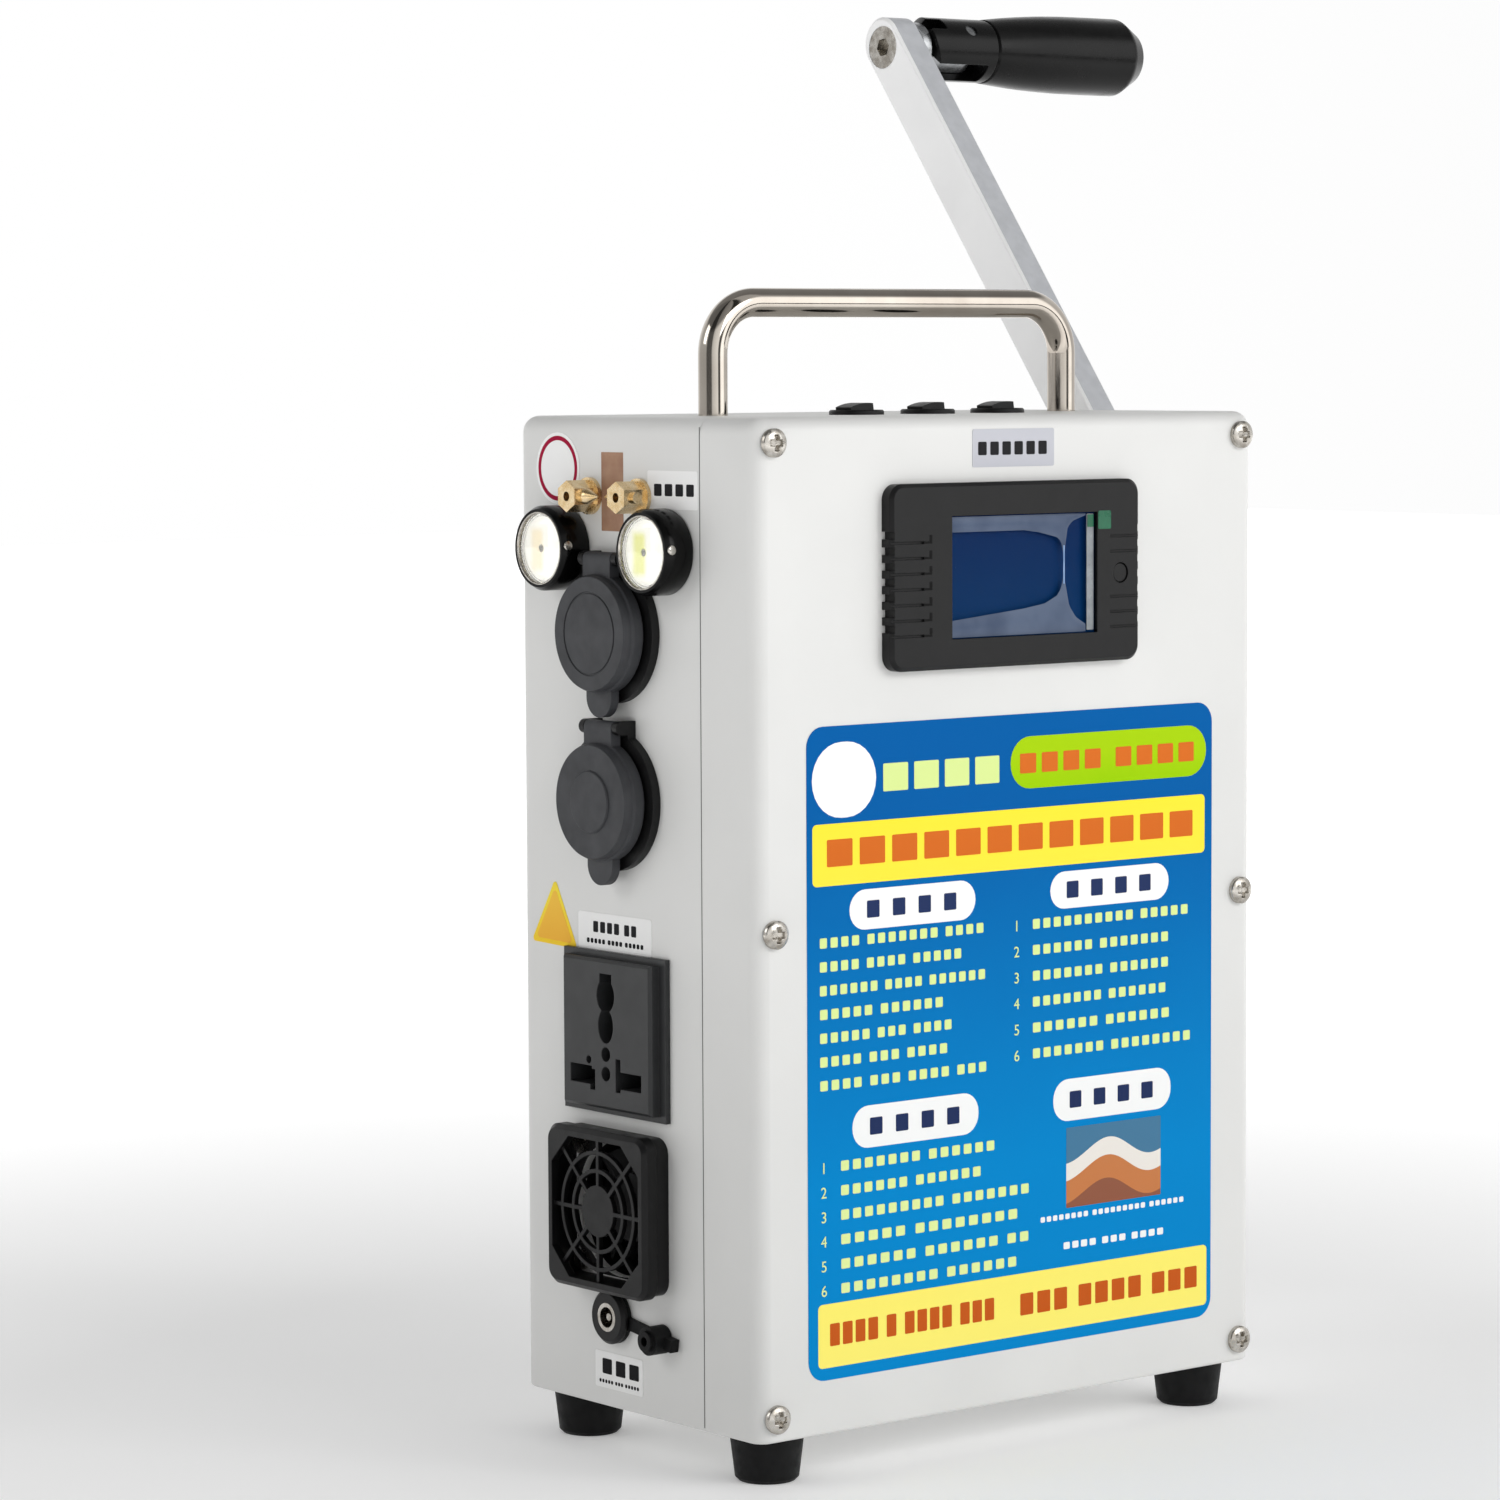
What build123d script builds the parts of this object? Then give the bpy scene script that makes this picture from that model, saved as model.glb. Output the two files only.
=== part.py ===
"""Hand crank generator: case with ports, meter, carry handle, folding crank, gear train and battery.

Millimetres. The origin is the centre of the case underside, +X runs to the right along the
front face, +Y to the rear and +Z up.
"""
from build123d import *
import os
from math import acos, cos, degrees, pi, radians, sin, sqrt, tan

os.makedirs("parts", exist_ok=True)

# ---- case --------------------------------------------------------------------------------
case_w = 180.0           # along X
case_d = 104.0           # along Y
case_h = 269.0           # along Z
wall = 2.2               # moulded wall
edge_r = 4.5             # rounding of the upright and top edges
base_r = 1.2             # rounding of the bottom edges
cover_depth = 23.1       # side flange of the front cover
lip_t = 1.6              # lip of the rear shell that the cover slides over
lip_len = 4.0
lip_gap = 0.15

# ---- clearances --------------------------------------------------------------------------
run_gap = 0.05           # radial play of a running fit
free_gap = 0.3           # between pieces that pass or seat without touching
screw_gap = 0.2          # radial play of a screw in its clearance hole

# ---- case screws, feet and carry handle --------------------------------------------------
screw_side_in = 5.8      # screw axis from the side faces
screw_end_in = 6.5       # screw axis from the top and bottom faces
screw_r = 1.7
screw_len = 14.0
screw_head_r = 3.75
screw_head_h = 2.3
boss_r = 3.3
boss_len = 25.7
screw_pad_t = 2.6       # pad inside the cover under each screw
foot_in = 13.0           # foot's centre from the side, front and rear faces
foot_h = 12.5
foot_top_r = 10.0
foot_low_r = 8.6
foot_edge_r = 1.0
foot_skirt = 5.5         # depth of the screw recess under a foot
foot_boss_h = 9.0
foot_boss_r = 3.4
handle_span = 126.5      # between the two legs
handle_x = 0.75          # middle of the handle
handle_rod_r = 4.0
handle_rise = 30.4       # centre of the top bar above the case
handle_bend_r = 14.0
handle_screw_r = 2.5
handle_screw_in = 12.0
handle_washer_r = 8.0
handle_washer_t = 1.6
handle_head_r = 4.5
handle_head_h = 3.0

# ---- meter -------------------------------------------------------------------------------
meter_x = -2.4
meter_z = 226.3
meter_w = 89.6
meter_h = 49.6
meter_out = 4.0
meter_r = 4.2
meter_body_w = 84.0
meter_body_h = 45.0
meter_body_d = 20.0
meter_skin = 1.4
window_w = 52.4
window_h = 32.8
window_x = 0.2
window_z = 225.9
glass_margin = 2.8
glass_t = 1.0
lcd_t = 5.0
board_t = 1.6
meter_ribs = 7
rib_pitch = 4.12
rib_top_z = 237.6
rib_len = 11.4
rib_line = 0.7
rib_line_depth = 0.6
rib_notch = 2.0
rib_notch_in = 1.1
key_x = 35.0
key_z = 225.5
key_r = 2.5
key_travel = 0.6
terminal_w = 30.0        # meter's terminal block
terminal_h = 12.0
terminal_d = 9.0

# ---- port column on the left side --------------------------------------------------------
port_y = 7.6             # centre line of the ports
socket_flange_r = 19.0
socket_flange_t = 2.5
socket_body_r = 14.0
socket_bore_r = 10.5
usb_z = 211.3
usb_depth = 24.0
usb_recess = 8.5
usb_port_w = 12.8
usb_port_h = 5.2
usb_port_pitch = 8.0
usb_port_depth = 14.0
usb_wall = 0.35
usb_tongue_w = 10.6
usb_tongue_t = 1.8
lighter_z = 166.2
lighter_depth = 40.0
sleeve_t = 0.7
sleeve_len = 34.0
contact_r = 2.4
contact_head_r = 4.2
contact_head_t = 1.2
contact_tip = 2.0
contact_tail = 4.0       # contact's tail behind the socket
cap_r = 16.2
cap_face_r = 15.2
cap_out = 9.2
cap_plug_r = 9.9
cap_plug_in = 2.6
cap_plug_edge = 0.6
usb_cap_ring_r = 11.3
lighter_cap_disc_r = 8.4
cap_mark = 0.6           # width of the ring cut in a cap's face, and height of its raised disc
strap_w = 12.0
strap_t = 3.2
hinge_up = 19.9          # hinge axis above the socket's centre
hinge_out = 4.7          # hinge axis off the wall
hinge_r = 1.9
hinge_pin_r = 0.8
ear_t = 2.0
tab_w = 11.0
tab_down = 22.6
tab_t = 2.6

lamp_z = 233.5
lamp_pitch = 45.3
lamp_r = 11.5
lamp_out = 9.0
lamp_bowl_r = 9.7
lamp_bowl_floor = 4.6
lamp_stud_r = 4.9
lamp_stud_len = 14.0
lamp_wire_r = 2.0
lamp_chip_w = 3.6
lamp_chip_h = 13.0
lamp_chip_t = 0.7

post_z = 247.7
post_pitch = 21.8
post_flat = 7.4
post_out = 8.2
post_flange_r = 5.0
post_flange_t = 1.2
post_hole_r = 1.3
post_hole_deep = 5.0
post_shank_r = 2.0
post_shank_end = 9.0     # how far the shank reaches inside of the outer wall face
needle_r = 2.1
needle_root = 1.4
spark_gap = 3.0
needle_tip_r = 0.2
grub_r = 1.5
grub_out = 1.2

ac_z = 103.0
ac_plate_w = 45.0
ac_plate_h = 44.0
ac_plate_t = 1.5
ac_face_w = 39.0
ac_face_h = 40.6
ac_out = 4.5
ac_bevel = 0.8
ac_body_w = 38.0
ac_depth = 24.0
ac_pin_depth = 16.0

fan_z = 55.4
guard_w = 44.0
guard_out = 8.7
guard_r = 4.5
guard_open = 38.5
guard_cut = 7.6
guard_face_in = 1.0      # grille set back from the bezel's front
guard_rib = 1.1
guard_rib_t = 1.4
guard_hub_r = 7.0
guard_rings = (11.5, 16.4)
guard_side = 2.0
guard_step = 0.6
fan_w = 40.0
fan_t = 10.0
fan_pitch = 32.0
fan_duct_r = 18.6
fan_hub_r = 9.5
fan_blade_r = 17.8
fan_blades = 7
fan_blade_t = 1.2
fan_blade_turn = 34.0
fan_screw_r = 1.5
fan_pin_r = 1.5
fan_rotor_in = 1.0       # rotor's front set back in the frame
fan_cap_t = 1.5          # closed front of the rotor's hub
fan_carrier_t = 1.5

jack_y = 9.9
jack_z = 25.6
jack_r = 7.4
jack_out = 3.2
jack_neck_r = 6.0
jack_neck = 1.4
jack_body_r = 5.6
jack_depth = 14.0
jack_metal_r = 3.9
jack_hole_r = 2.8
jack_hole_deep = 9.5
jack_pin_r = 1.0
tether_t = 0.9
tether_w = 3.4
tether_len = 21.6
tether_dip = 8.0         # degrees below level
dust_cap_r = 3.9
dust_cap_len = 5.4
dust_tab = 3.4
dust_plug = 1.2
nut_t = 3.0

# ---- rocker switches on the top ----------------------------------------------------------
rocker_pitch = 25.5
rocker_y = -16.0
switch_r = 7.5
switch_t = 1.3
switch_edge = 0.4
switch_body_r = 6.6
switch_depth = 12.0
rocker_w = 9.4           # along X
rocker_d = 6.4           # along Y
rocker_gap = 0.35
rocker_axis_in = 3.0     # pivot below the case top
rocker_tilt = 8.0
rocker_rise = 1.3        # rocker's face above the bezel at its middle
rocker_dish_r = 16.0
rocker_pin_r = 1.0

# ---- crank and folding grip --------------------------------------------------------------
crank_z = 224.0
crank_lean = 37.3        # degrees from upright, towards the rear
crank_len = 195.0
arm_gap = 8.0            # arm's inner face from the case
arm_t = 10.0
arm_w = 16.0
arm_end = 1.5            # centre of the rounded end past the grip screw
arm_hub_r = 13.0
arm_edge = 0.8
shaft_r = 6.0
inner_shaft_r = 5.0
shaft_square = 9.0
shaft_collar_r = 9.5
bearing_wide = 6.0
bearing_r = 12.0
inner_bearing_r = 11.0
flange_r = 18.0
flange_t = 3.0
flange_boss_r = 15.5
flange_screw_at = 15.0   # screws' distance from the crank axis
flange_screw_r = 1.5
flange_screw_head_r = 2.8
flange_screw_head_h = 1.9
flange_screws_n = 4
flange_skin = 0.6        # metal left in front of the blind screw holes
hub_screw_r = 3.0
hub_screw_len = 14.0
hub_washer_r = 10.0
hub_washer_t = 1.6
hub_head_r = 5.5
hub_head_h = 5.0
hex_socket = 5.0

grip_screw_r = 4.0
grip_screw_head_r = 6.4
bracket_flange_r = 8.0
bracket_flange_t = 3.0
tongue_w = 12.0          # along the arm
tongue_t = 7.0           # across the arm
grip_pin_x = 19.5        # fold pin from the arm's outer face
grip_pin_r = 2.0
fork_r = 9.7
fork_ear_r = 16.1        # ears' rounding about the pin
fork_slot_gap = 0.3
fork_stop_gap = 0.4
fork_len = 29.0          # arm's outer face to the end of the fork
fork_notch_w = 5.0
fork_notch_x = 6.5
sleeve_gap = 0.3
grip_neck_r = 9.85
grip_mid_r = 11.75
grip_r = 12.15
grip_len = 62.0
grip_chamfer = 6.5
grip_end_r = 8.6
spindle_r = 4.0
spindle_root = 2.6       # spindle's seat in the end of the fork
spindle_head_r = 6.5
spindle_head_t = 3.0
spindle_seat = 5.0       # how deep the spindle's head sits in the end of the grip

# ---- gear train and generator ------------------------------------------------------------
gear_m = 1.0
big_teeth = 60
small_teeth = 15
pressure_angle = 20.0
tooth_play = 0.12
addendum = 0.85
dedendum = 1.25
gear_face = 8.0
outer_plate_t = 3.5
inner_plate_t = 6.0
gearbox_len = 34.5       # over both plates
plate_front = 20.5       # plates in front of the crank axis
plate_rear = 36.0        # and behind it
plate_top = 38.0         # plates above the crank axis
plate_low = 28.0         # and below the generator axis
pillar_r = 4.0
pillar_in = 5.5
idler_pin_r = 3.0
layer_gap = 2.0
drive_in = 6.6           # drive gear from the case wall's inner face
generator_len = 62.0
generator_r = 26.0
generator_wall = 2.0
rotor_r = 15.0
rotor_len = 36.0
rotor_shaft_r = 3.0
air_gap = 0.6
rotor_bearing_r = 8.0
rotor_bearing_wide = 5.0
stator_slots = 9
slot_w = 3.2
coil_len = 6.0

# ---- battery, inverter and boards --------------------------------------------------------
cell_r = 10.6
cell_h = 70.0
cell_pitch = 23.0
cells_x = 4
cells_y = 3
pack_x = 26.0
pack_y = 10.0
holder_t = 6.0
holder_grip = 4.0
cell_play = 0.15
standoff_h = 8.0
standoff_r = 3.0
inverter_left_in = 54.0  # board's left end from the left face
inverter_right_in = 6.0  # and its right end from the right face
inverter_d = 86.0
transformer = (36.0, 34.0, 26.0)
coil_r = 12.0
capacitor_r = 9.0
capacitor_h = 28.0
sink_len = 70.0
sink_h = 26.0
sink_fin = 1.6
sink_fins = 4
sink_pitch = 4.0
charge_w = 90.0
charge_h = 60.0
charge_z = 220.0
charge_boss_h = 5.0
charge_boss_r = 3.0
choke_r = 9.0            # chokes on the charge board
choke_h = 10.0
choke_pitch = 52.0
choke_up = 8.0
contact_strip_w = 50.0   # contact strip under them
contact_strip_h = 12.0
contact_strip_t = 8.0
contact_strip_down = 18.0
module = (30.0, 36.0, 20.0)

# ---- vent on the right side --------------------------------------------------------------
vent_slots = 7
vent_pitch = 6.0
vent_w = 3.0
vent_len = 34.0

# ---- places worked out from the sizes above ----------------------------------------------
seam_y = cover_depth - case_d / 2
side_x = case_w / 2
front_y = -case_d / 2
inner_x = side_x - wall
screw_xs = (-(side_x - screw_side_in), side_x - screw_side_in)
screw_zs = (screw_end_in, case_h / 2, case_h - screw_end_in)
foot_x = side_x - foot_in
foot_y = case_d / 2 - foot_in
foot_spots = [(sx * foot_x, sy * foot_y) for sx in (-1, 1) for sy in (-1, 1)]
handle_xs = (handle_x - handle_span / 2, handle_x + handle_span / 2)
lamp_ys = (port_y + lamp_pitch / 2, port_y - lamp_pitch / 2)
post_ys = (port_y + post_pitch / 2, port_y - post_pitch / 2)
socket_zs = (usb_z, lighter_z)
rocker_xs = (-rocker_pitch, 0.0, rocker_pitch)
arm_x = side_x + arm_gap
arm_out_x = arm_x + arm_t
pin_x = arm_out_x + grip_pin_x
grip_x = arm_out_x + fork_len + sleeve_gap
lean_y = sin(radians(crank_lean))
lean_z = cos(radians(crank_lean))
gear_span = gear_m * (big_teeth + small_teeth) / 2
idler_z = crank_z - gear_span
generator_z = idler_z - gear_span
plate_x = inner_x - free_gap
inner_plate_x = plate_x - gearbox_len
layer_a = inner_x - drive_in - gear_face
layer_b = layer_a - layer_gap - gear_face
holder_z = wall + cell_h + holder_t - holder_grip * 2 + holder_t
board_z = holder_z + standoff_h
inverter_x = (inverter_left_in - side_x, side_x - inverter_right_in)


# ---- planes and small helpers ------------------------------------------------------------
def left_plane(y, z, out=0.0):
    """On the left side face, looking at it: local x to the front, local y up, normal outwards."""
    return Plane(origin=(-side_x - out, y, z), x_dir=(0, -1, 0), z_dir=(-1, 0, 0))


def right_plane(y, z, x=side_x):
    """Square to X at the place x: local x to the rear, local y up, normal to the right."""
    return Plane(origin=(x, y, z), x_dir=(0, 1, 0), z_dir=(1, 0, 0))


def front_plane(x, z, out=0.0):
    """On the front face: local x to the right, local y up, normal outwards."""
    return Plane(origin=(x, front_y - out, z), x_dir=(1, 0, 0), z_dir=(0, -1, 0))


def arm_plane(x, along=0.0):
    """Square to the crank axis at x: local x runs out along the arm, normal to the right."""
    spot = (x, along * lean_y, crank_z + along * lean_z)
    return Plane(origin=spot, x_dir=(0, lean_y, lean_z), z_dir=(1, 0, 0))


def disc(plane, radius, length, mode=Mode.ADD):
    """A cylinder that stands on a plane."""
    with BuildSketch(plane) as face:
        Circle(radius)
    extrude(face.sketch, amount=length, mode=mode)


def bar(plane, width, height, length, corner=0.0, mode=Mode.ADD):
    """A rectangular bar that stands on a plane, with rounded corners if asked."""
    with BuildSketch(plane) as face:
        if corner:
            RectangleRounded(width, height, corner)
        else:
            Rectangle(width, height)
    extrude(face.sketch, amount=length, mode=mode)


def turned(plane, outline, mode=Mode.ADD):
    """A closed outline of (radius, height) points turned round the plane's normal."""
    side = Plane(origin=plane.origin, x_dir=plane.x_dir, z_dir=plane.y_dir * -1)
    with BuildSketch(side) as face:
        with BuildLine():
            Polyline(*outline, close=True)
        make_face()
    revolve(face.sketch, axis=Axis(plane.origin, plane.z_dir), mode=mode)


def prism(plane, outline, length, mode=Mode.ADD):
    """A closed outline of points on a plane, drawn out along its normal."""
    with BuildSketch(plane) as face:
        with BuildLine():
            Polyline(*outline, close=True)
        make_face()
    extrude(face.sketch, amount=length, mode=mode)


def shifted(plane, right=0.0, up=0.0, out=0.0):
    """The plane moved by steps along its own axes."""
    spot = plane.origin + plane.x_dir * right + plane.y_dir * up + plane.z_dir * out
    return Plane(origin=spot, x_dir=plane.x_dir, z_dir=plane.z_dir)


def save(piece, name):
    """Label a finished piece and write it to its own file."""
    piece.part.label = name
    export_step(piece.part, f"parts/{name}.step")


# ---- case --------------------------------------------------------------------------------
def case_block(inset):
    """The closed block of the case, drawn in by the inset on every side."""
    upright_r = max(edge_r - inset, base_r)
    with BuildPart() as block:
        with BuildSketch(Plane.XY.offset(inset)):
            RectangleRounded(case_w - 2 * inset, case_d - 2 * inset, upright_r)
        extrude(amount=case_h - 2 * inset)
        fillet(block.edges().group_by(Axis.Z)[-1], radius=upright_r)
        if inset == 0:
            fillet(block.edges().group_by(Axis.Z)[0], radius=base_r)
    return block.part


def make_rear_shell():
    outside = case_block(0)
    inside = case_block(wall)
    lip_in = wall + lip_gap
    lip_inner = lip_in + lip_t
    with BuildPart() as rear_shell:
        add(outside)
        add(inside, mode=Mode.SUBTRACT)
        split(bisect_by=Plane(origin=(0, seam_y, 0), z_dir=(0, 1, 0)), keep=Keep.TOP)
        for inset, y in ((lip_in, seam_y - lip_len), (wall, seam_y)):
            with BuildSketch(Plane(origin=(0, y, case_h / 2), x_dir=(1, 0, 0), z_dir=(0, 1, 0))):
                RectangleRounded(case_w - 2 * inset, case_h - 2 * inset, edge_r - wall)
                Rectangle(case_w - 2 * lip_inner, case_h - 2 * lip_inner, mode=Mode.SUBTRACT)
            extrude(amount=lip_len)
        for x in screw_xs:
            for z in screw_zs:
                start = front_plane(x, z, -wall - screw_pad_t)
                disc(start, boss_r, -boss_len)
                toward = 1 if x > 0 else -1
                web_x = x + toward * (screw_side_in - wall) / 2
                web = front_plane(web_x, z, -cover_depth - lip_len)
                web_len = boss_len + wall + screw_pad_t - cover_depth - lip_len
                bar(web, screw_side_in - wall, boss_r, -web_len)
                disc(start, screw_r + run_gap, wall - screw_len, Mode.SUBTRACT)
        for x, y in foot_spots:
            if y > 0:
                disc(Plane((x, y, wall)), foot_boss_r, foot_boss_h)
                disc(Plane((x, y, 0)), screw_r + run_gap, foot_boss_h + 1, Mode.SUBTRACT)
        for x in handle_xs:
            disc(Plane((x, 0, case_h)), handle_screw_r + screw_gap, -wall, Mode.SUBTRACT)
        for x in rocker_xs:
            disc(Plane((x, rocker_y, case_h)), switch_body_r + screw_gap, -wall, Mode.SUBTRACT)
        cut_left_openings()
        cut_right_openings()
        for x in (-1, 1):
            for z in (-1, 1):
                boss_x = x * (charge_w / 2 - charge_boss_r)
                boss_z = charge_z + z * (charge_h / 2 - charge_boss_r)
                rear = Plane(origin=(boss_x, case_d / 2 - wall, boss_z), x_dir=(1, 0, 0), z_dir=(0, -1, 0))
                disc(rear, charge_boss_r, charge_boss_h)
    save(rear_shell, "rear_shell")


def cut_left_openings():
    """Holes in the left wall for everything on the port column."""
    for y in lamp_ys:
        disc(left_plane(y, lamp_z), lamp_stud_r + screw_gap, -wall, Mode.SUBTRACT)
    for y in post_ys:
        disc(left_plane(y, post_z), post_shank_r + screw_gap, -wall, Mode.SUBTRACT)
    for z in socket_zs:
        disc(left_plane(port_y, z), socket_body_r + screw_gap, -wall, Mode.SUBTRACT)
    outlet_hole = ac_body_w + 2 * screw_gap
    bar(left_plane(port_y, ac_z), outlet_hole, outlet_hole, -wall, mode=Mode.SUBTRACT)
    disc(left_plane(port_y, fan_z), fan_duct_r, -wall, Mode.SUBTRACT)
    with BuildSketch(left_plane(port_y, fan_z)) as screws:
        with GridLocations(fan_pitch, fan_pitch, 2, 2):
            Circle(fan_screw_r + screw_gap)
    extrude(screws.sketch, amount=-wall, mode=Mode.SUBTRACT)
    disc(left_plane(jack_y, jack_z), jack_body_r + screw_gap, -wall, Mode.SUBTRACT)


def cut_right_openings():
    """Shaft hole, bearing flange screws and the air vent in the right wall."""
    disc(right_plane(0, crank_z), shaft_collar_r, -wall, Mode.SUBTRACT)
    flange_holes(inner_x, flange_screw_r + screw_gap, wall)
    with BuildSketch(right_plane(port_y, fan_z)) as vent:
        with GridLocations(vent_pitch, 1, vent_slots, 1):
            SlotOverall(vent_len, vent_w, rotation=90)
    extrude(vent.sketch, amount=-wall, mode=Mode.SUBTRACT)


def make_front_cover():
    outside = case_block(0)
    inside = case_block(wall)
    with BuildPart() as front_cover:
        add(outside)
        add(inside, mode=Mode.SUBTRACT)
        split(bisect_by=Plane(origin=(0, seam_y, 0), z_dir=(0, 1, 0)), keep=Keep.BOTTOM)
        for x in screw_xs:
            for z in screw_zs:
                disc(front_plane(x, z, -wall), boss_r, -screw_pad_t)
                disc(front_plane(x, z), screw_r + screw_gap, -wall - screw_pad_t, Mode.SUBTRACT)
        hole = front_plane(meter_x, meter_z)
        bar(hole, meter_body_w + 2 * free_gap, meter_body_h + 2 * free_gap, -wall, mode=Mode.SUBTRACT)
        for x, y in foot_spots:
            if y < 0:
                disc(Plane((x, y, wall)), foot_boss_r, foot_boss_h)
                disc(Plane((x, y, 0)), screw_r + run_gap, foot_boss_h + 1, Mode.SUBTRACT)
    save(front_cover, "front_cover")


def make_case_screws():
    outline = (
        (0, -screw_len),
        (screw_r, -screw_len),
        (screw_r, 0),
        (screw_head_r, 0),
        (screw_head_r, screw_head_h * 0.45),
        (screw_head_r * 0.7, screw_head_h),
        (0, screw_head_h),
    )
    with BuildPart() as case_screws:
        for x in screw_xs:
            for z in screw_zs:
                turned(front_plane(x, z), outline)
        for x, y in foot_spots:
            turned(Plane(origin=(x, y, foot_skirt - foot_h), z_dir=(0, 0, -1)), outline)
    save(case_screws, "case_screws")


def make_feet():
    outline = (
        (screw_r + screw_gap, 0),
        (foot_top_r, 0),
        (foot_low_r, -foot_h + foot_edge_r),
        (foot_low_r - foot_edge_r, -foot_h),
        (screw_head_r + 1, -foot_h),
        (screw_head_r + 1, foot_skirt - foot_h),
        (screw_r + screw_gap, foot_skirt - foot_h),
    )
    with BuildPart() as feet:
        for x, y in foot_spots:
            turned(Plane((x, y, 0)), outline)
    save(feet, "feet")


def make_carry_handle():
    low, high = case_h, case_h + handle_rise
    x0, x1 = handle_xs
    with BuildPart() as carry_handle:
        with BuildLine() as path:
            FilletPolyline((x0, 0, low), (x0, 0, high), (x1, 0, high), (x1, 0, low), radius=handle_bend_r)
        with BuildSketch(Plane((x0, 0, low))):
            Circle(handle_rod_r)
        sweep(path=path.line)
        for x in handle_xs:
            disc(Plane((x, 0, low)), handle_screw_r + run_gap, handle_screw_in + 1, Mode.SUBTRACT)
    save(carry_handle, "carry_handle")


def make_handle_screws():
    under = case_h - wall
    with BuildPart() as handle_screws:
        for x in handle_xs:
            disc(Plane((x, 0, under)), handle_washer_r, -handle_washer_t)
            disc(Plane((x, 0, under - handle_washer_t)), handle_head_r, -handle_head_h)
            disc(Plane((x, 0, under)), handle_screw_r, wall + handle_screw_in)
    save(handle_screws, "handle_screws")


# ---- meter -------------------------------------------------------------------------------
def make_meter_bezel():
    window = front_plane(window_x, window_z)
    glass_w = window_w + 2 * glass_margin
    glass_h = window_h + 2 * glass_margin
    with BuildPart() as meter_bezel:
        bar(front_plane(meter_x, meter_z), meter_w, meter_h, meter_out, meter_r)
        chamfer(meter_bezel.faces().sort_by(Axis.Y)[0].edges(), length=1.0)
        bar(front_plane(meter_x, meter_z), meter_body_w, meter_body_h, -meter_body_d)
        cut_meter_ribs()
        bar(window, window_w, window_h, meter_out, mode=Mode.SUBTRACT)
        ledge = shifted(window, out=meter_out - meter_skin)
        bar(ledge, glass_w + free_gap, glass_h + free_gap, -meter_body_d - meter_out, mode=Mode.SUBTRACT)
        back = shifted(front_plane(meter_x, meter_z), out=meter_lcd_back())
        bar(back, meter_body_w - 3, meter_body_h - 3, -meter_body_d, mode=Mode.SUBTRACT)
        disc(front_plane(key_x, key_z, meter_out), key_r + free_gap, -meter_body_d, Mode.SUBTRACT)
    save(meter_bezel, "meter_bezel")


def meter_lcd_back():
    """Height of the display's back over the cover's face."""
    return meter_out - meter_skin - free_gap / 2 - glass_t - lcd_t


def cut_meter_ribs():
    """The ribbed ends of the bezel: notches in its edge and a fine line from each."""
    for i in range(meter_ribs):
        z = rib_top_z - i * rib_pitch
        for end in (-1, 1):
            edge_x = meter_x + end * meter_w / 2
            line = front_plane(edge_x - end * rib_len / 2, z - rib_pitch / 2, meter_out)
            near_key = end > 0 and abs(z - rib_pitch / 2 - key_z) < key_r + 1
            if not near_key:
                bar(line, rib_len, rib_line, -rib_line_depth, mode=Mode.SUBTRACT)
            notch = front_plane(edge_x, z, 0)
            bar(notch, 2 * rib_notch_in, rib_notch, meter_out, mode=Mode.SUBTRACT)


def make_meter_window():
    face = front_plane(window_x, window_z, meter_out - meter_skin - free_gap / 2)
    with BuildPart() as meter_window:
        bar(face, window_w + 2 * glass_margin, window_h + 2 * glass_margin, -glass_t)
    save(meter_window, "meter_window")


def make_meter_display():
    """The display module with its circuit board."""
    face = front_plane(window_x, window_z, meter_lcd_back())
    with BuildPart() as meter_display:
        bar(face, window_w + 2 * glass_margin, window_h + 2 * glass_margin, lcd_t)
        back = front_plane(meter_x, meter_z, meter_lcd_back() - free_gap / 2)
        bar(back, meter_body_w - 4, meter_body_h - 4, -board_t)
        bar(face, window_w, window_h, -free_gap)
        terminals = front_plane(meter_x, meter_z, meter_lcd_back() - free_gap / 2 - board_t)
        bar(terminals, terminal_w, terminal_h, -terminal_d)
    save(meter_display, "meter_display")


def make_meter_key():
    board_face = meter_lcd_back() - free_gap / 2
    length = meter_out - free_gap - board_face - key_travel - free_gap / 2
    with BuildPart() as meter_key:
        disc(front_plane(key_x, key_z, meter_out - free_gap), key_r, -length)
    save(meter_key, "meter_key")


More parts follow.
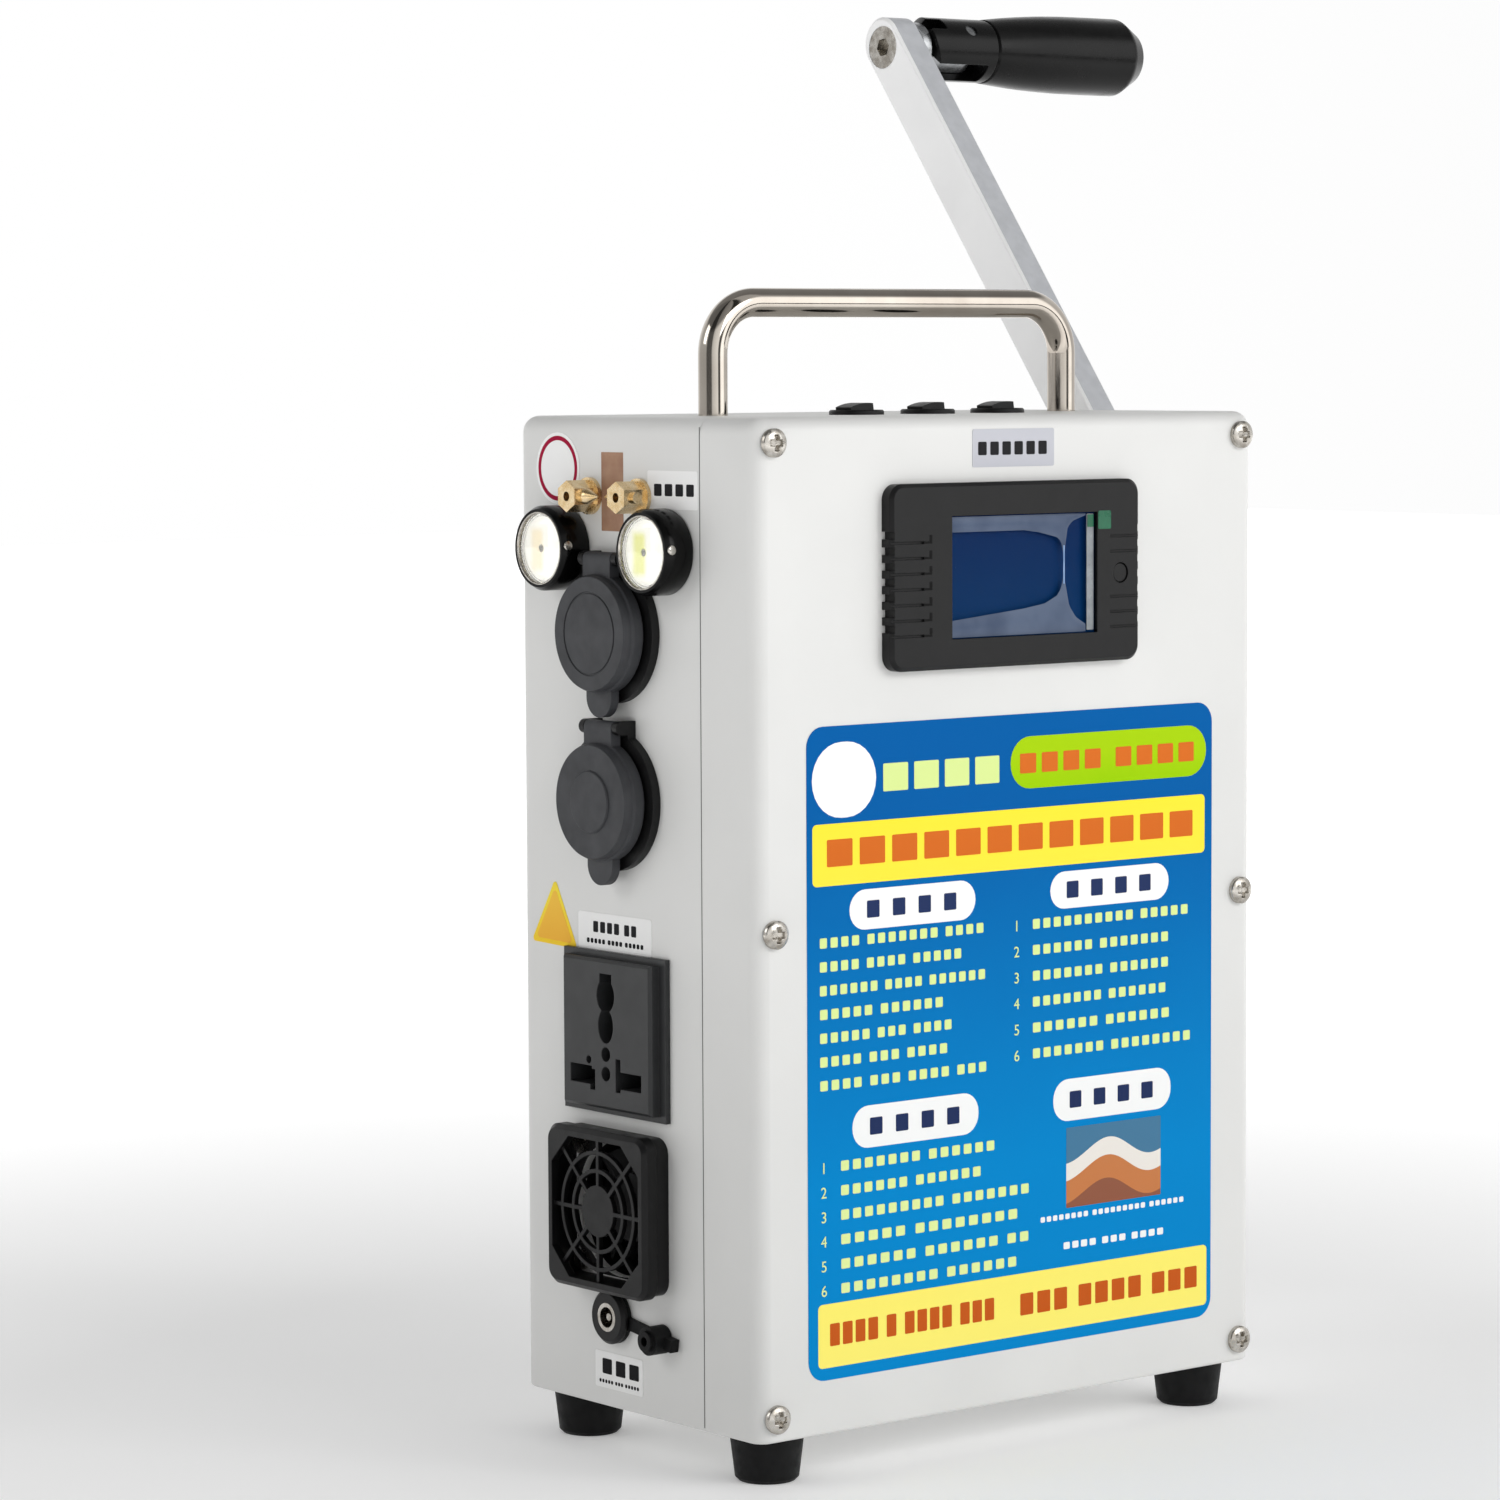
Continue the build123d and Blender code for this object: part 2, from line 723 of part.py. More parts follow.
# ---- lamps and spark posts ---------------------------------------------------------------
def make_lamps():
    rim = lamp_bowl_r + 0.2
    body = (
        (lamp_wire_r, -lamp_stud_len),
        (lamp_stud_r, -lamp_stud_len),
        (lamp_stud_r, 0),
        (lamp_r - 0.5, 0),
        (lamp_r, 0.8),
        (lamp_r, lamp_out - 1.6),
        (lamp_r - 0.9, lamp_out),
        (rim, lamp_out),
        (lamp_bowl_r, lamp_out - 0.6),
        (lamp_bowl_r, lamp_bowl_floor),
        (lamp_wire_r, lamp_bowl_floor),
    )
    foot = lamp_bowl_floor + 1.1
    lens_r = lamp_bowl_r - 0.1
    lens = (
        (0, foot + 1.5),
        (lens_r - 1.1, foot + 0.9),
        (lens_r - 0.7, foot),
        (lens_r, foot),
        (lens_r, foot + 2.0),
        (lens_r * 0.7, foot + 2.7),
        (lens_r * 0.35, foot + 3.0),
        (0, foot + 3.1),
    )
    with BuildPart() as lamp_bodies:
        for y in lamp_ys:
            turned(left_plane(y, lamp_z), body)
    save(lamp_bodies, "lamp_bodies")
    with BuildPart() as lamp_boards:
        for y in lamp_ys:
            disc(left_plane(y, lamp_z, lamp_bowl_floor), lamp_bowl_r - free_gap, 1.0)
            bar(left_plane(y, lamp_z, lamp_bowl_floor + 1.0), lamp_chip_w, lamp_chip_h, lamp_chip_t)
    save(lamp_boards, "lamp_boards")
    with BuildPart() as lamp_lenses:
        for y in lamp_ys:
            turned(left_plane(y, lamp_z), lens)
    save(lamp_lenses, "lamp_lenses")


def make_spark_posts():
    with BuildPart() as spark_posts:
        for y in post_ys:
            base = left_plane(y, post_z)
            disc(base, post_flange_r, post_flange_t)
            with BuildSketch(shifted(base, out=post_flange_t)):
                RegularPolygon(post_flat / 2, 6, major_radius=False, rotation=30)
            extrude(amount=post_out - post_flange_t)
            disc(base, post_shank_r, -post_shank_end)
            disc(shifted(base, out=post_out), post_hole_r, -post_hole_deep, Mode.SUBTRACT)
    save(spark_posts, "spark_posts")


def make_spark_needles():
    """Cone-pointed needles that face each other, each with the grub screw behind it."""
    height = (post_out + post_flange_t) / 2
    reach = post_pitch / 2 - post_flat / 2 - spark_gap / 2
    needle = ((0, 0), (needle_r, 0), (needle_r, needle_root), (needle_tip_r, reach), (0, reach))
    with BuildPart() as spark_needles:
        for y, toward in zip(post_ys, (-1, 1)):
            spot = (-side_x - height, y + toward * post_flat / 2, post_z)
            turned(Plane(origin=spot, x_dir=(1, 0, 0), z_dir=(0, toward, 0)), needle)
            behind = (-side_x - height, y - toward * post_flat / 2, post_z)
            disc(Plane(origin=behind, x_dir=(1, 0, 0), z_dir=(0, -toward, 0)), grub_r, grub_out)
    save(spark_needles, "spark_needles")


def make_spark_module():
    depth, length, height = module
    face = left_plane(port_y, post_z, -post_shank_end)
    with BuildPart() as spark_module:
        bar(face, length, height, -depth, corner=2.0)
    save(spark_module, "spark_module")


# ---- round sockets and their caps --------------------------------------------------------
def socket_flange(z):
    """Flange with two hinge ears and the hinge pin across them."""
    base = left_plane(port_y, z)
    disc(base, socket_flange_r, socket_flange_t)
    ear_y = strap_w / 2 + free_gap + ear_t / 2
    for side in (-1, 1):
        ear = Plane(origin=(-side_x, port_y + side * ear_y, z), x_dir=(-1, 0, 0), z_dir=(0, 1, 0))
        with BuildSketch(shifted(ear, out=-ear_t / 2)) as outline:
            with Locations((hinge_out, hinge_up)):
                Circle(hinge_r)
            with Locations((hinge_out / 2, hinge_up)):
                Rectangle(hinge_out, 2 * hinge_r)
            with Locations((socket_flange_t / 2, hinge_up - 3)):
                Rectangle(socket_flange_t, 6)
        extrude(outline.sketch, amount=ear_t)
    pin_at = (-side_x - hinge_out, port_y - ear_y, z + hinge_up)
    disc(Plane(origin=pin_at, x_dir=(1, 0, 0), z_dir=(0, 1, 0)), hinge_pin_r, 2 * ear_y)


def make_usb_socket():
    base = left_plane(port_y, usb_z)
    with BuildPart() as usb_socket:
        socket_flange(usb_z)
        disc(base, socket_body_r, -usb_depth)
        disc(shifted(base, out=socket_flange_t), socket_bore_r, -usb_recess, Mode.SUBTRACT)
        for up in (-1, 1):
            slot = shifted(base, up=up * usb_port_pitch / 2, out=socket_flange_t - usb_recess)
            bar(slot, usb_port_w, usb_port_h, -usb_port_depth, mode=Mode.SUBTRACT)
    save(usb_socket, "usb_socket")


def make_usb_ports():
    """Metal shells of the two outlets, each with its contact tongue."""
    base = left_plane(port_y, usb_z, socket_flange_t - usb_recess)
    with BuildPart() as usb_ports:
        for up in (-1, 1):
            slot = shifted(base, up=up * usb_port_pitch / 2)
            bar(slot, usb_port_w, usb_port_h, -usb_port_depth)
            inner_w = usb_port_w - 2 * usb_wall
            inner_h = usb_port_h - 2 * usb_wall
            bar(slot, inner_w, inner_h, -usb_port_depth + 1, mode=Mode.SUBTRACT)
            tongue = shifted(slot, up=inner_h / 4, out=-usb_port_depth)
            bar(tongue, usb_tongue_w, usb_tongue_t, usb_port_depth - 2)
    save(usb_ports, "usb_ports")


def make_lighter_socket():
    base = left_plane(port_y, lighter_z)
    hole_r = socket_bore_r + sleeve_t
    with BuildPart() as lighter_socket:
        socket_flange(lighter_z)
        disc(base, socket_body_r, socket_flange_t - sleeve_len)
        disc(shifted(base, out=socket_flange_t), hole_r, -sleeve_len, Mode.SUBTRACT)
    save(lighter_socket, "lighter_socket")
    mouth = shifted(base, out=socket_flange_t)
    tube_end = shifted(mouth, out=-sleeve_len)
    well = contact_head_t + contact_tip
    with BuildPart() as lighter_base:
        disc(tube_end, socket_body_r, sleeve_len - socket_flange_t - lighter_depth)
        disc(tube_end, contact_head_r + free_gap, -well, Mode.SUBTRACT)
        disc(tube_end, contact_r, -lighter_depth, Mode.SUBTRACT)
    save(lighter_base, "lighter_base")
    with BuildPart() as lighter_sleeve:
        disc(mouth, hole_r, -sleeve_len)
        disc(mouth, socket_bore_r, -sleeve_len, Mode.SUBTRACT)
    save(lighter_sleeve, "lighter_sleeve")
    floor = shifted(tube_end, out=-well)
    with BuildPart() as lighter_contact:
        disc(floor, contact_r, sleeve_len + well - socket_flange_t - lighter_depth - contact_tail)
        disc(floor, contact_head_r, contact_head_t)
        disc(shifted(floor, out=contact_head_t), contact_r, contact_tip)
    save(lighter_contact, "lighter_contact")


def socket_cap(z):
    """Round cap with its strap, hinge eye and pull tab."""
    base = left_plane(port_y, z)
    low = socket_flange_t + free_gap
    turned(
        base,
        (
            (0, low),
            (cap_r - 0.6, low),
            (cap_r, low + 0.6),
            (cap_r, cap_out - 3.0),
            (cap_r - 0.5, cap_out - 2.4),
            (cap_r - 0.5, cap_out - 1.0),
            (cap_face_r, cap_out),
            (0, cap_out),
        ),
    )
    strap_top = hinge_out + hinge_r
    strap_bottom = strap_top - strap_t
    strap = shifted(base, up=(cap_r + hinge_up) / 2 - 2, out=strap_bottom)
    bar(strap, strap_w, hinge_up - cap_r + 4, strap_t)
    eye_at = (-side_x - hinge_out, port_y - strap_w / 2, z + hinge_up)
    eye = Plane(origin=eye_at, x_dir=(1, 0, 0), z_dir=(0, 1, 0))
    disc(eye, hinge_r, strap_w)
    disc(eye, hinge_pin_r + run_gap, strap_w, Mode.SUBTRACT)
    with BuildSketch(shifted(base, up=-tab_down + tab_w / 2, out=low + 0.6)) as tab:
        Circle(tab_w / 2)
        with Locations((0, (tab_down - cap_r) / 2)):
            Rectangle(tab_w, tab_down - cap_r)
    extrude(tab.sketch, amount=tab_t)


def make_usb_cap():
    face = left_plane(port_y, usb_z, cap_out)
    with BuildPart() as usb_cap:
        socket_cap(usb_z)
        plug = left_plane(port_y, usb_z, socket_flange_t + free_gap)
        disc(plug, cap_plug_r, -cap_plug_in)
        chamfer(usb_cap.faces().sort_by(Axis.X)[-1].edges(), length=cap_plug_edge)
        with BuildSketch(face) as ring:
            Circle(usb_cap_ring_r)
            Circle(usb_cap_ring_r - cap_mark, mode=Mode.SUBTRACT)
        extrude(ring.sketch, amount=-cap_mark / 2, mode=Mode.SUBTRACT)
    save(usb_cap, "usb_cap")


def make_lighter_cap():
    face = left_plane(port_y, lighter_z, cap_out)
    with BuildPart() as lighter_cap:
        socket_cap(lighter_z)
        disc(face, lighter_cap_disc_r, cap_mark)
        chamfer(lighter_cap.faces().sort_by(Axis.X)[0].edges(), length=cap_mark / 2)
    save(lighter_cap, "lighter_cap")


# ---- mains outlet ------------------------------------------------------------------------
def make_ac_socket():
    base = left_plane(port_y, ac_z)
    face = shifted(base, out=ac_out)
    with BuildPart() as ac_socket:
        bar(base, ac_plate_w, ac_plate_h, ac_plate_t)
        bar(shifted(base, out=ac_plate_t), ac_face_w, ac_face_h, ac_out - ac_plate_t)
        chamfer(ac_socket.faces().sort_by(Axis.X)[0].edges(), length=ac_bevel)
        bar(base, ac_body_w, ac_body_w, -ac_depth)
        with BuildSketch(face) as pin_holes:
            pin_hole_shapes()
        extrude(pin_holes.sketch, amount=-ac_pin_depth, mode=Mode.SUBTRACT)
    save(ac_socket, "ac_socket")


def pin_hole_shapes():
    """The outlet's universal pin pattern: earth above, line and neutral below, two round holes."""
    with Locations((0, 14.4)):
        Rectangle(5.3, 4.2)
    with Locations((0, 10.6)):
        Ellipse(3.9, 4.6)
    with Locations((0, 2.4)):
        Ellipse(3.3, 4.7)
    for up in (-5.3, -10.6):
        with Locations((0, up)):
            Circle(1.95)
    with Locations((-11.0, -11.5)):
        Rectangle(9.6, 5.0)
    with Locations((-5.9, -12.6)):
        Rectangle(2.2, 5.6)
    with Locations((-7.6, -7.4)):
        Circle(1.1)
    with Locations((5.4, -10.6)):
        Rectangle(2.2, 9.0)
    with Locations((11.0, -11.8)):
        Rectangle(9.2, 4.6)


# ---- fan ---------------------------------------------------------------------------------
def octagon(width, cut):
    """Corners of a square with its corners cut off."""
    half = width / 2
    inner = half - cut
    right = [(half, -inner), (half, inner), (inner, half)]
    left = [(-inner, half), (-half, inner), (-half, -inner)]
    return right + left + [(-inner, -half), (inner, -half)]


def make_fan_guard():
    base = left_plane(port_y, fan_z)
    front = guard_out - guard_face_in
    with BuildPart() as fan_guard:
        bar(base, guard_w - 2 * guard_step, guard_w - 2 * guard_step, guard_out / 2, guard_r)
        bar(shifted(base, out=guard_out / 2), guard_w, guard_w, guard_out / 2, guard_r)
        chamfer(fan_guard.faces().sort_by(Axis.X)[0].edges(), length=1.2)
        hollow = guard_w - 2 * guard_side - 2 * guard_step
        bar(base, hollow, hollow, guard_out - 2.4, guard_r - guard_side, Mode.SUBTRACT)
        prism(base, octagon(guard_open, guard_cut), guard_out, Mode.SUBTRACT)
        grille = shifted(base, out=front - guard_rib_t)
        with BuildSketch(grille) as ribs:
            Circle(guard_hub_r)
            for radius in guard_rings:
                with BuildSketch(mode=Mode.PRIVATE) as ring:
                    Circle(radius)
                    Circle(radius - guard_rib, mode=Mode.SUBTRACT)
                add(ring.sketch)
            for turn in (0, 90):
                Rectangle(guard_open + 0.4, guard_rib, rotation=turn)
            for turn in (45, 135):
                Rectangle((guard_open - guard_cut) * sqrt(2) + 0.4, guard_rib, rotation=turn)
        extrude(ribs.sketch, amount=guard_rib_t)
    save(fan_guard, "fan_guard")


def make_fan_frame():
    """Square fan housing with its duct, hub carrier and four screw holes."""
    face = left_plane(port_y, fan_z, -wall)
    with BuildPart() as fan_frame:
        bar(face, fan_w, fan_w, -fan_t, 3.0)
        disc(face, fan_duct_r, -fan_t, Mode.SUBTRACT)
        back = shifted(face, out=-fan_t)
        disc(back, fan_hub_r, fan_carrier_t)
        for turn in (0, 120, 240):
            with BuildSketch(back) as spoke:
                with PolarLocations((fan_duct_r + fan_hub_r) / 2, 1, start_angle=turn):
                    Rectangle(fan_duct_r - fan_hub_r + 2, 2.4)
            extrude(spoke.sketch, amount=fan_carrier_t)
        disc(back, fan_pin_r, fan_t - fan_rotor_in - fan_cap_t - free_gap)
        with BuildSketch(face) as screws:
            with GridLocations(fan_pitch, fan_pitch, 2, 2):
                Circle(fan_screw_r + run_gap)
        extrude(screws.sketch, amount=-fan_t, mode=Mode.SUBTRACT)
    save(fan_frame, "fan_frame")


def make_fan_rotor():
    face = left_plane(port_y, fan_z, -wall - fan_rotor_in)
    depth = fan_t - fan_rotor_in - fan_carrier_t - free_gap
    blade_len = fan_blade_r - fan_hub_r + 0.8
    blade_at = (fan_hub_r + fan_blade_r) / 2 - 0.4
    with BuildPart() as fan_rotor:
        disc(face, fan_hub_r, -depth)
        for i in range(fan_blades):
            turn = i * 360 / fan_blades
            with BuildSketch(shifted(face, out=0.6 - depth)) as rear_edge:
                with PolarLocations(blade_at, 1, start_angle=turn):
                    Rectangle(blade_len, fan_blade_t)
            with BuildSketch(shifted(face, out=-0.6)) as front_edge:
                with PolarLocations(blade_at, 1, start_angle=turn + fan_blade_turn):
                    Rectangle(blade_len, fan_blade_t)
            loft([rear_edge.sketch.face(), front_edge.sketch.face()], ruled=True)
        disc(shifted(face, out=-depth), fan_pin_r + run_gap, depth - fan_cap_t, Mode.SUBTRACT)
    save(fan_rotor, "fan_rotor")


def make_fan_screws():
    with BuildPart() as fan_screws:
        for right in (-1, 1):
            for up in (-1, 1):
                spot = shifted(left_plane(port_y, fan_z), right * fan_pitch / 2, up * fan_pitch / 2)
                disc(spot, fan_screw_r, -wall - fan_t)
                disc(spot, fan_screw_r + 1.2, 1.8)
    save(fan_screws, "fan_screws")


# ---- charging jack -----------------------------------------------------------------------
def make_dc_jack():
    base = left_plane(jack_y, jack_z)
    outline = (
        (0, -jack_depth),
        (jack_body_r, -jack_depth),
        (jack_body_r, 0),
        (jack_neck_r, 0),
        (jack_neck_r, jack_neck),
        (jack_r, jack_neck),
        (jack_r, jack_out - 0.9),
        (jack_r - 0.9, jack_out),
        (0, jack_out),
    )
    with BuildPart() as dc_jack:
        turned(base, outline)
        disc(shifted(base, out=jack_out), jack_metal_r, -jack_hole_deep, Mode.SUBTRACT)
    save(dc_jack, "dc_jack")
    with BuildPart() as dc_contact:
        mouth = shifted(base, out=jack_out)
        disc(mouth, jack_metal_r, -jack_hole_deep)
        disc(mouth, jack_hole_r, 1.0 - jack_hole_deep, Mode.SUBTRACT)
        disc(shifted(mouth, out=-jack_hole_deep), jack_pin_r, jack_hole_deep - 0.8)
    save(dc_contact, "dc_contact")


def make_dc_dust_cap():
    """Rubber cap on a flat tether, whose ring turns round the jack's neck."""
    base = left_plane(jack_y, jack_z, (jack_neck - tether_t) / 2)
    dip = radians(tether_dip)
    run = Plane(origin=base.origin, x_dir=(0, -cos(dip), -sin(dip)), z_dir=(-1, 0, 0))
    head = shifted(run, right=tether_len)
    with BuildPart() as dc_dust_cap:
        disc(base, jack_r, tether_t)
        bar(shifted(run, right=tether_len / 2), tether_len, tether_w, tether_t)
        disc(base, jack_neck_r + run_gap, tether_t, Mode.SUBTRACT)
        disc(head, dust_cap_r, dust_cap_len)
        disc(shifted(head, out=dust_cap_len), jack_hole_r, dust_plug)
        bar(shifted(head, right=dust_cap_r + dust_tab / 2 - 0.6), dust_tab, tether_w, dust_cap_len / 2)
        mouth = shifted(head, out=dust_cap_len + dust_plug)
        disc(mouth, jack_pin_r + free_gap, -dust_cap_len / 2 - dust_plug, Mode.SUBTRACT)
    save(dc_dust_cap, "dc_dust_cap")


# ---- nuts behind the left wall -----------------------------------------------------------
def make_panel_nuts():
    with BuildPart() as panel_nuts:
        nuts = [(y, lamp_z, lamp_stud_r, 7.0) for y in lamp_ys]
        nuts += [(y, post_z, post_shank_r, 3.5) for y in post_ys]
        nuts += [(port_y, z, socket_body_r, socket_flange_r - 1) for z in socket_zs]
        nuts += [(jack_y, jack_z, jack_body_r, 7.5)]
        for y, z, hole, size in nuts:
            with BuildSketch(left_plane(y, z, -wall)) as nut:
                RegularPolygon(size, 6, major_radius=False)
                Circle(hole + run_gap, mode=Mode.SUBTRACT)
            extrude(nut.sketch, amount=-nut_t)
    save(panel_nuts, "panel_nuts")


# ---- rocker switches ---------------------------------------------------------------------
def make_switch_bodies():
    with BuildPart() as switch_bodies:
        for x in rocker_xs:
            top = Plane((x, rocker_y, case_h))
            outline = (
                (0, -switch_depth),
                (switch_body_r, -switch_depth),
                (switch_body_r, 0),
                (switch_r, 0),
                (switch_r, switch_t - switch_edge),
                (switch_r - switch_edge, switch_t),
                (0, switch_t),
            )
            turned(top, outline)
            pocket_w = rocker_w + 2 * rocker_gap
            pocket_d = rocker_d + 2 * rocker_gap
            bar(shifted(top, out=switch_t), pocket_w, pocket_d, -switch_t - 9.0, mode=Mode.SUBTRACT)
            pivot_at = (x, rocker_y - pocket_d / 2 - 0.5, case_h - rocker_axis_in)
            pivot = Plane(origin=pivot_at, x_dir=(1, 0, 0), z_dir=(0, 1, 0))
            disc(pivot, rocker_pin_r, pocket_d + 1.0)
    save(switch_bodies, "switch_bodies")


def make_rocker(x, name):
    """One rocker, tilted to its off position, with a dished face and a bore for its pivot."""
    tilt = radians(rocker_tilt)
    pivot = (x, rocker_y - rocker_d / 2, case_h - rocker_axis_in)
    side = Plane(origin=pivot, x_dir=(cos(tilt), 0, sin(tilt)), z_dir=(0, 1, 0))
    half = rocker_w / 2 - 2 * rocker_gap
    top = rocker_axis_in + switch_t + rocker_rise
    with BuildPart() as rocker:
        with BuildSketch(side) as profile:
            with BuildLine():
                Line((-half, -top), (-half, 0))
                Line((half, 0), (half, -top))
                ThreePointArc((-half, 0), (0, 3.6), (half, 0))
                RadiusArc((half, -top), (-half, -top), rocker_dish_r)
            make_face()
            Circle(rocker_pin_r + run_gap, mode=Mode.SUBTRACT)
        extrude(profile.sketch, amount=rocker_d)
    save(rocker, name)


# ---- crank -------------------------------------------------------------------------------
def make_crank_flange():
    base = right_plane(0, crank_z)
    boss = bearing_wide + free_gap + 0.1
    with BuildPart() as crank_flange:
        disc(base, flange_r, flange_t)
        disc(base, flange_boss_r, boss)
        chamfer(crank_flange.faces().sort_by(Axis.X)[-1].edges(), length=0.6)
        disc(base, shaft_r + 1.5, boss, Mode.SUBTRACT)
        disc(shifted(base, out=free_gap + 0.1), bearing_r, boss, Mode.SUBTRACT)
        flange_holes(side_x, flange_screw_r + run_gap, flange_t - flange_skin)
    save(crank_flange, "crank_flange")


def flange_holes(x, radius, depth):
    """Holes for the flange screws, cut to the right from the place x."""
    with BuildSketch(right_plane(0, crank_z, x)) as holes:
        with PolarLocations(flange_screw_at, flange_screws_n, start_angle=45):
            Circle(radius)
    extrude(holes.sketch, amount=depth, mode=Mode.SUBTRACT)


def make_flange_screws():
    """Screws that hold the gearbox plate, the wall and the flange together, heads inside."""
    start = plate_x - outer_plate_t
    length = side_x + flange_t - flange_skin - start
    outline = (
        (0, -flange_screw_head_h),
        (flange_screw_head_r, -flange_screw_head_h),
        (flange_screw_head_r, 0),
        (flange_screw_r, 0),
        (flange_screw_r, length),
        (0, length),
    )
    with BuildPart() as flange_screws:
        for i in range(flange_screws_n):
            turn = radians(45 + i * 360 / flange_screws_n)
            y, z = flange_screw_at * cos(turn), flange_screw_at * sin(turn)
            turned(right_plane(y, crank_z + z, start), outline)
    save(flange_screws, "flange_screws")


def make_ball_bearings():
    with BuildPart() as ball_bearings:
        seats = (
            (side_x + free_gap + 0.1, crank_z, bearing_r, shaft_r, bearing_wide),
            (inner_plate_x, crank_z, inner_bearing_r, inner_shaft_r, bearing_wide),
            (inner_plate_x, generator_z, rotor_bearing_r, rotor_shaft_r, rotor_bearing_wide),
            (generator_rear_x(), generator_z, rotor_bearing_r, rotor_shaft_r, rotor_bearing_wide),
        )
        for x, z, outer, inner, wide in seats:
            with BuildSketch(right_plane(0, z, x)) as ring:
                Circle(outer)
                Circle(inner + run_gap, mode=Mode.SUBTRACT)
            extrude(ring.sketch, amount=wide)
    save(ball_bearings, "ball_bearings")


def make_crank_shaft():
    start = inner_plate_x - 1.0
    step = layer_a - 1.0
    collar = side_x + bearing_wide + free_gap * 2 + 0.1
    with BuildPart() as crank_shaft:
        disc(right_plane(0, crank_z, start), inner_shaft_r, step - start)
        disc(right_plane(0, crank_z, step), shaft_r, collar - step)
        disc(right_plane(0, crank_z, collar), shaft_collar_r, arm_x - collar)
        bar(arm_plane(arm_x), shaft_square, shaft_square, arm_t - free_gap)
        end = arm_plane(arm_out_x)
        disc(end, hub_screw_r + run_gap, -hub_screw_len, Mode.SUBTRACT)
    save(crank_shaft, "crank_shaft")


def make_crank_arm():
    inner = arm_plane(arm_x)
    with BuildPart() as crank_arm:
        with BuildSketch(inner) as outline:
            Circle(arm_hub_r)
            with Locations(((crank_len + arm_end) / 2, 0)):
                Rectangle(crank_len + arm_end, arm_w)
            with Locations((crank_len + arm_end, 0)):
                Circle(arm_w / 2)
        extrude(outline.sketch, amount=arm_t)
        chamfer(crank_arm.faces().sort_by(Axis.X)[-1].edges(), length=arm_edge)
        chamfer(crank_arm.faces().sort_by(Axis.X)[0].edges(), length=arm_edge)
        bar(inner, shaft_square + 2 * run_gap, shaft_square + 2 * run_gap, arm_t, mode=Mode.SUBTRACT)
        eye = arm_plane(arm_x, crank_len)
        disc(eye, grip_screw_r + run_gap, arm_t, Mode.SUBTRACT)
        cone_deep = grip_screw_head_r - grip_screw_r
        seat = (
            (0, 0),
            (grip_screw_head_r + run_gap, 0),
            (grip_screw_head_r + run_gap, 0.4),
            (grip_screw_r + run_gap, cone_deep + 0.4),
            (0, cone_deep + 0.4),
        )
        turned(eye, seat, Mode.SUBTRACT)
    save(crank_arm, "crank_arm")


def make_hub_screw():
    outer = arm_plane(arm_out_x)
    with BuildPart() as hub_screw:
        disc(outer, hub_screw_r, -hub_screw_len + 1)
        disc(outer, hub_washer_r, hub_washer_t)
        disc(shifted(outer, out=hub_washer_t), hub_head_r, hub_head_h)
        with BuildSketch(shifted(outer, out=hub_washer_t + hub_head_h)) as socket:
            RegularPolygon(hex_socket / 2, 6, major_radius=False)
        extrude(socket.sketch, amount=-hub_head_h / 2, mode=Mode.SUBTRACT)
    save(hub_screw, "hub_screw")


# ---- folding grip ------------------------------------------------------------------------
def make_grip_bracket():
    """Flange on the arm and the flat tongue that the fork folds on."""
    outer = arm_plane(arm_out_x, crank_len)
    reach = grip_pin_x - bracket_flange_t
    side = across_plane(-tongue_t / 2)
    with BuildPart() as grip_bracket:
        disc(outer, bracket_flange_r, bracket_flange_t)
        with BuildSketch(side) as tongue:
            Circle(tongue_w / 2)
            with Locations((-reach / 2, 0)):
                Rectangle(reach, tongue_w)
            Circle(grip_pin_r + run_gap, mode=Mode.SUBTRACT)
        extrude(tongue.sketch, amount=tongue_t)
        disc(outer, grip_screw_r - 1, 9.0, Mode.SUBTRACT)
    save(grip_bracket, "grip_bracket")


def across_plane(across=0.0):
    """Through the fold pin, square to it: local x to the right, normal across the arm."""
    spot = arm_plane(pin_x, crank_len)
    return Plane(origin=spot.origin + spot.y_dir * across, x_dir=(1, 0, 0), z_dir=spot.y_dir)


def make_grip_screw():
    inner = arm_plane(arm_x, crank_len)
    cone_deep = grip_screw_head_r - grip_screw_r
    outline = (
        (0, 0.1),
        (grip_screw_head_r, 0.1),
        (grip_screw_head_r, 0.4),
        (grip_screw_r, cone_deep + 0.4),
        (grip_screw_r, arm_t),
        (grip_screw_r - 1 - run_gap, arm_t),
        (grip_screw_r - 1 - run_gap, arm_t + 8.0),
        (0, arm_t + 8.0),
    )
    with BuildPart() as grip_screw:
        turned(inner, outline)
        with BuildSketch(shifted(inner, out=0.1)) as socket:
            RegularPolygon(hex_socket / 2, 6, major_radius=False)
        extrude(socket.sketch, amount=3.0, mode=Mode.SUBTRACT)
    save(grip_screw, "grip_screw")


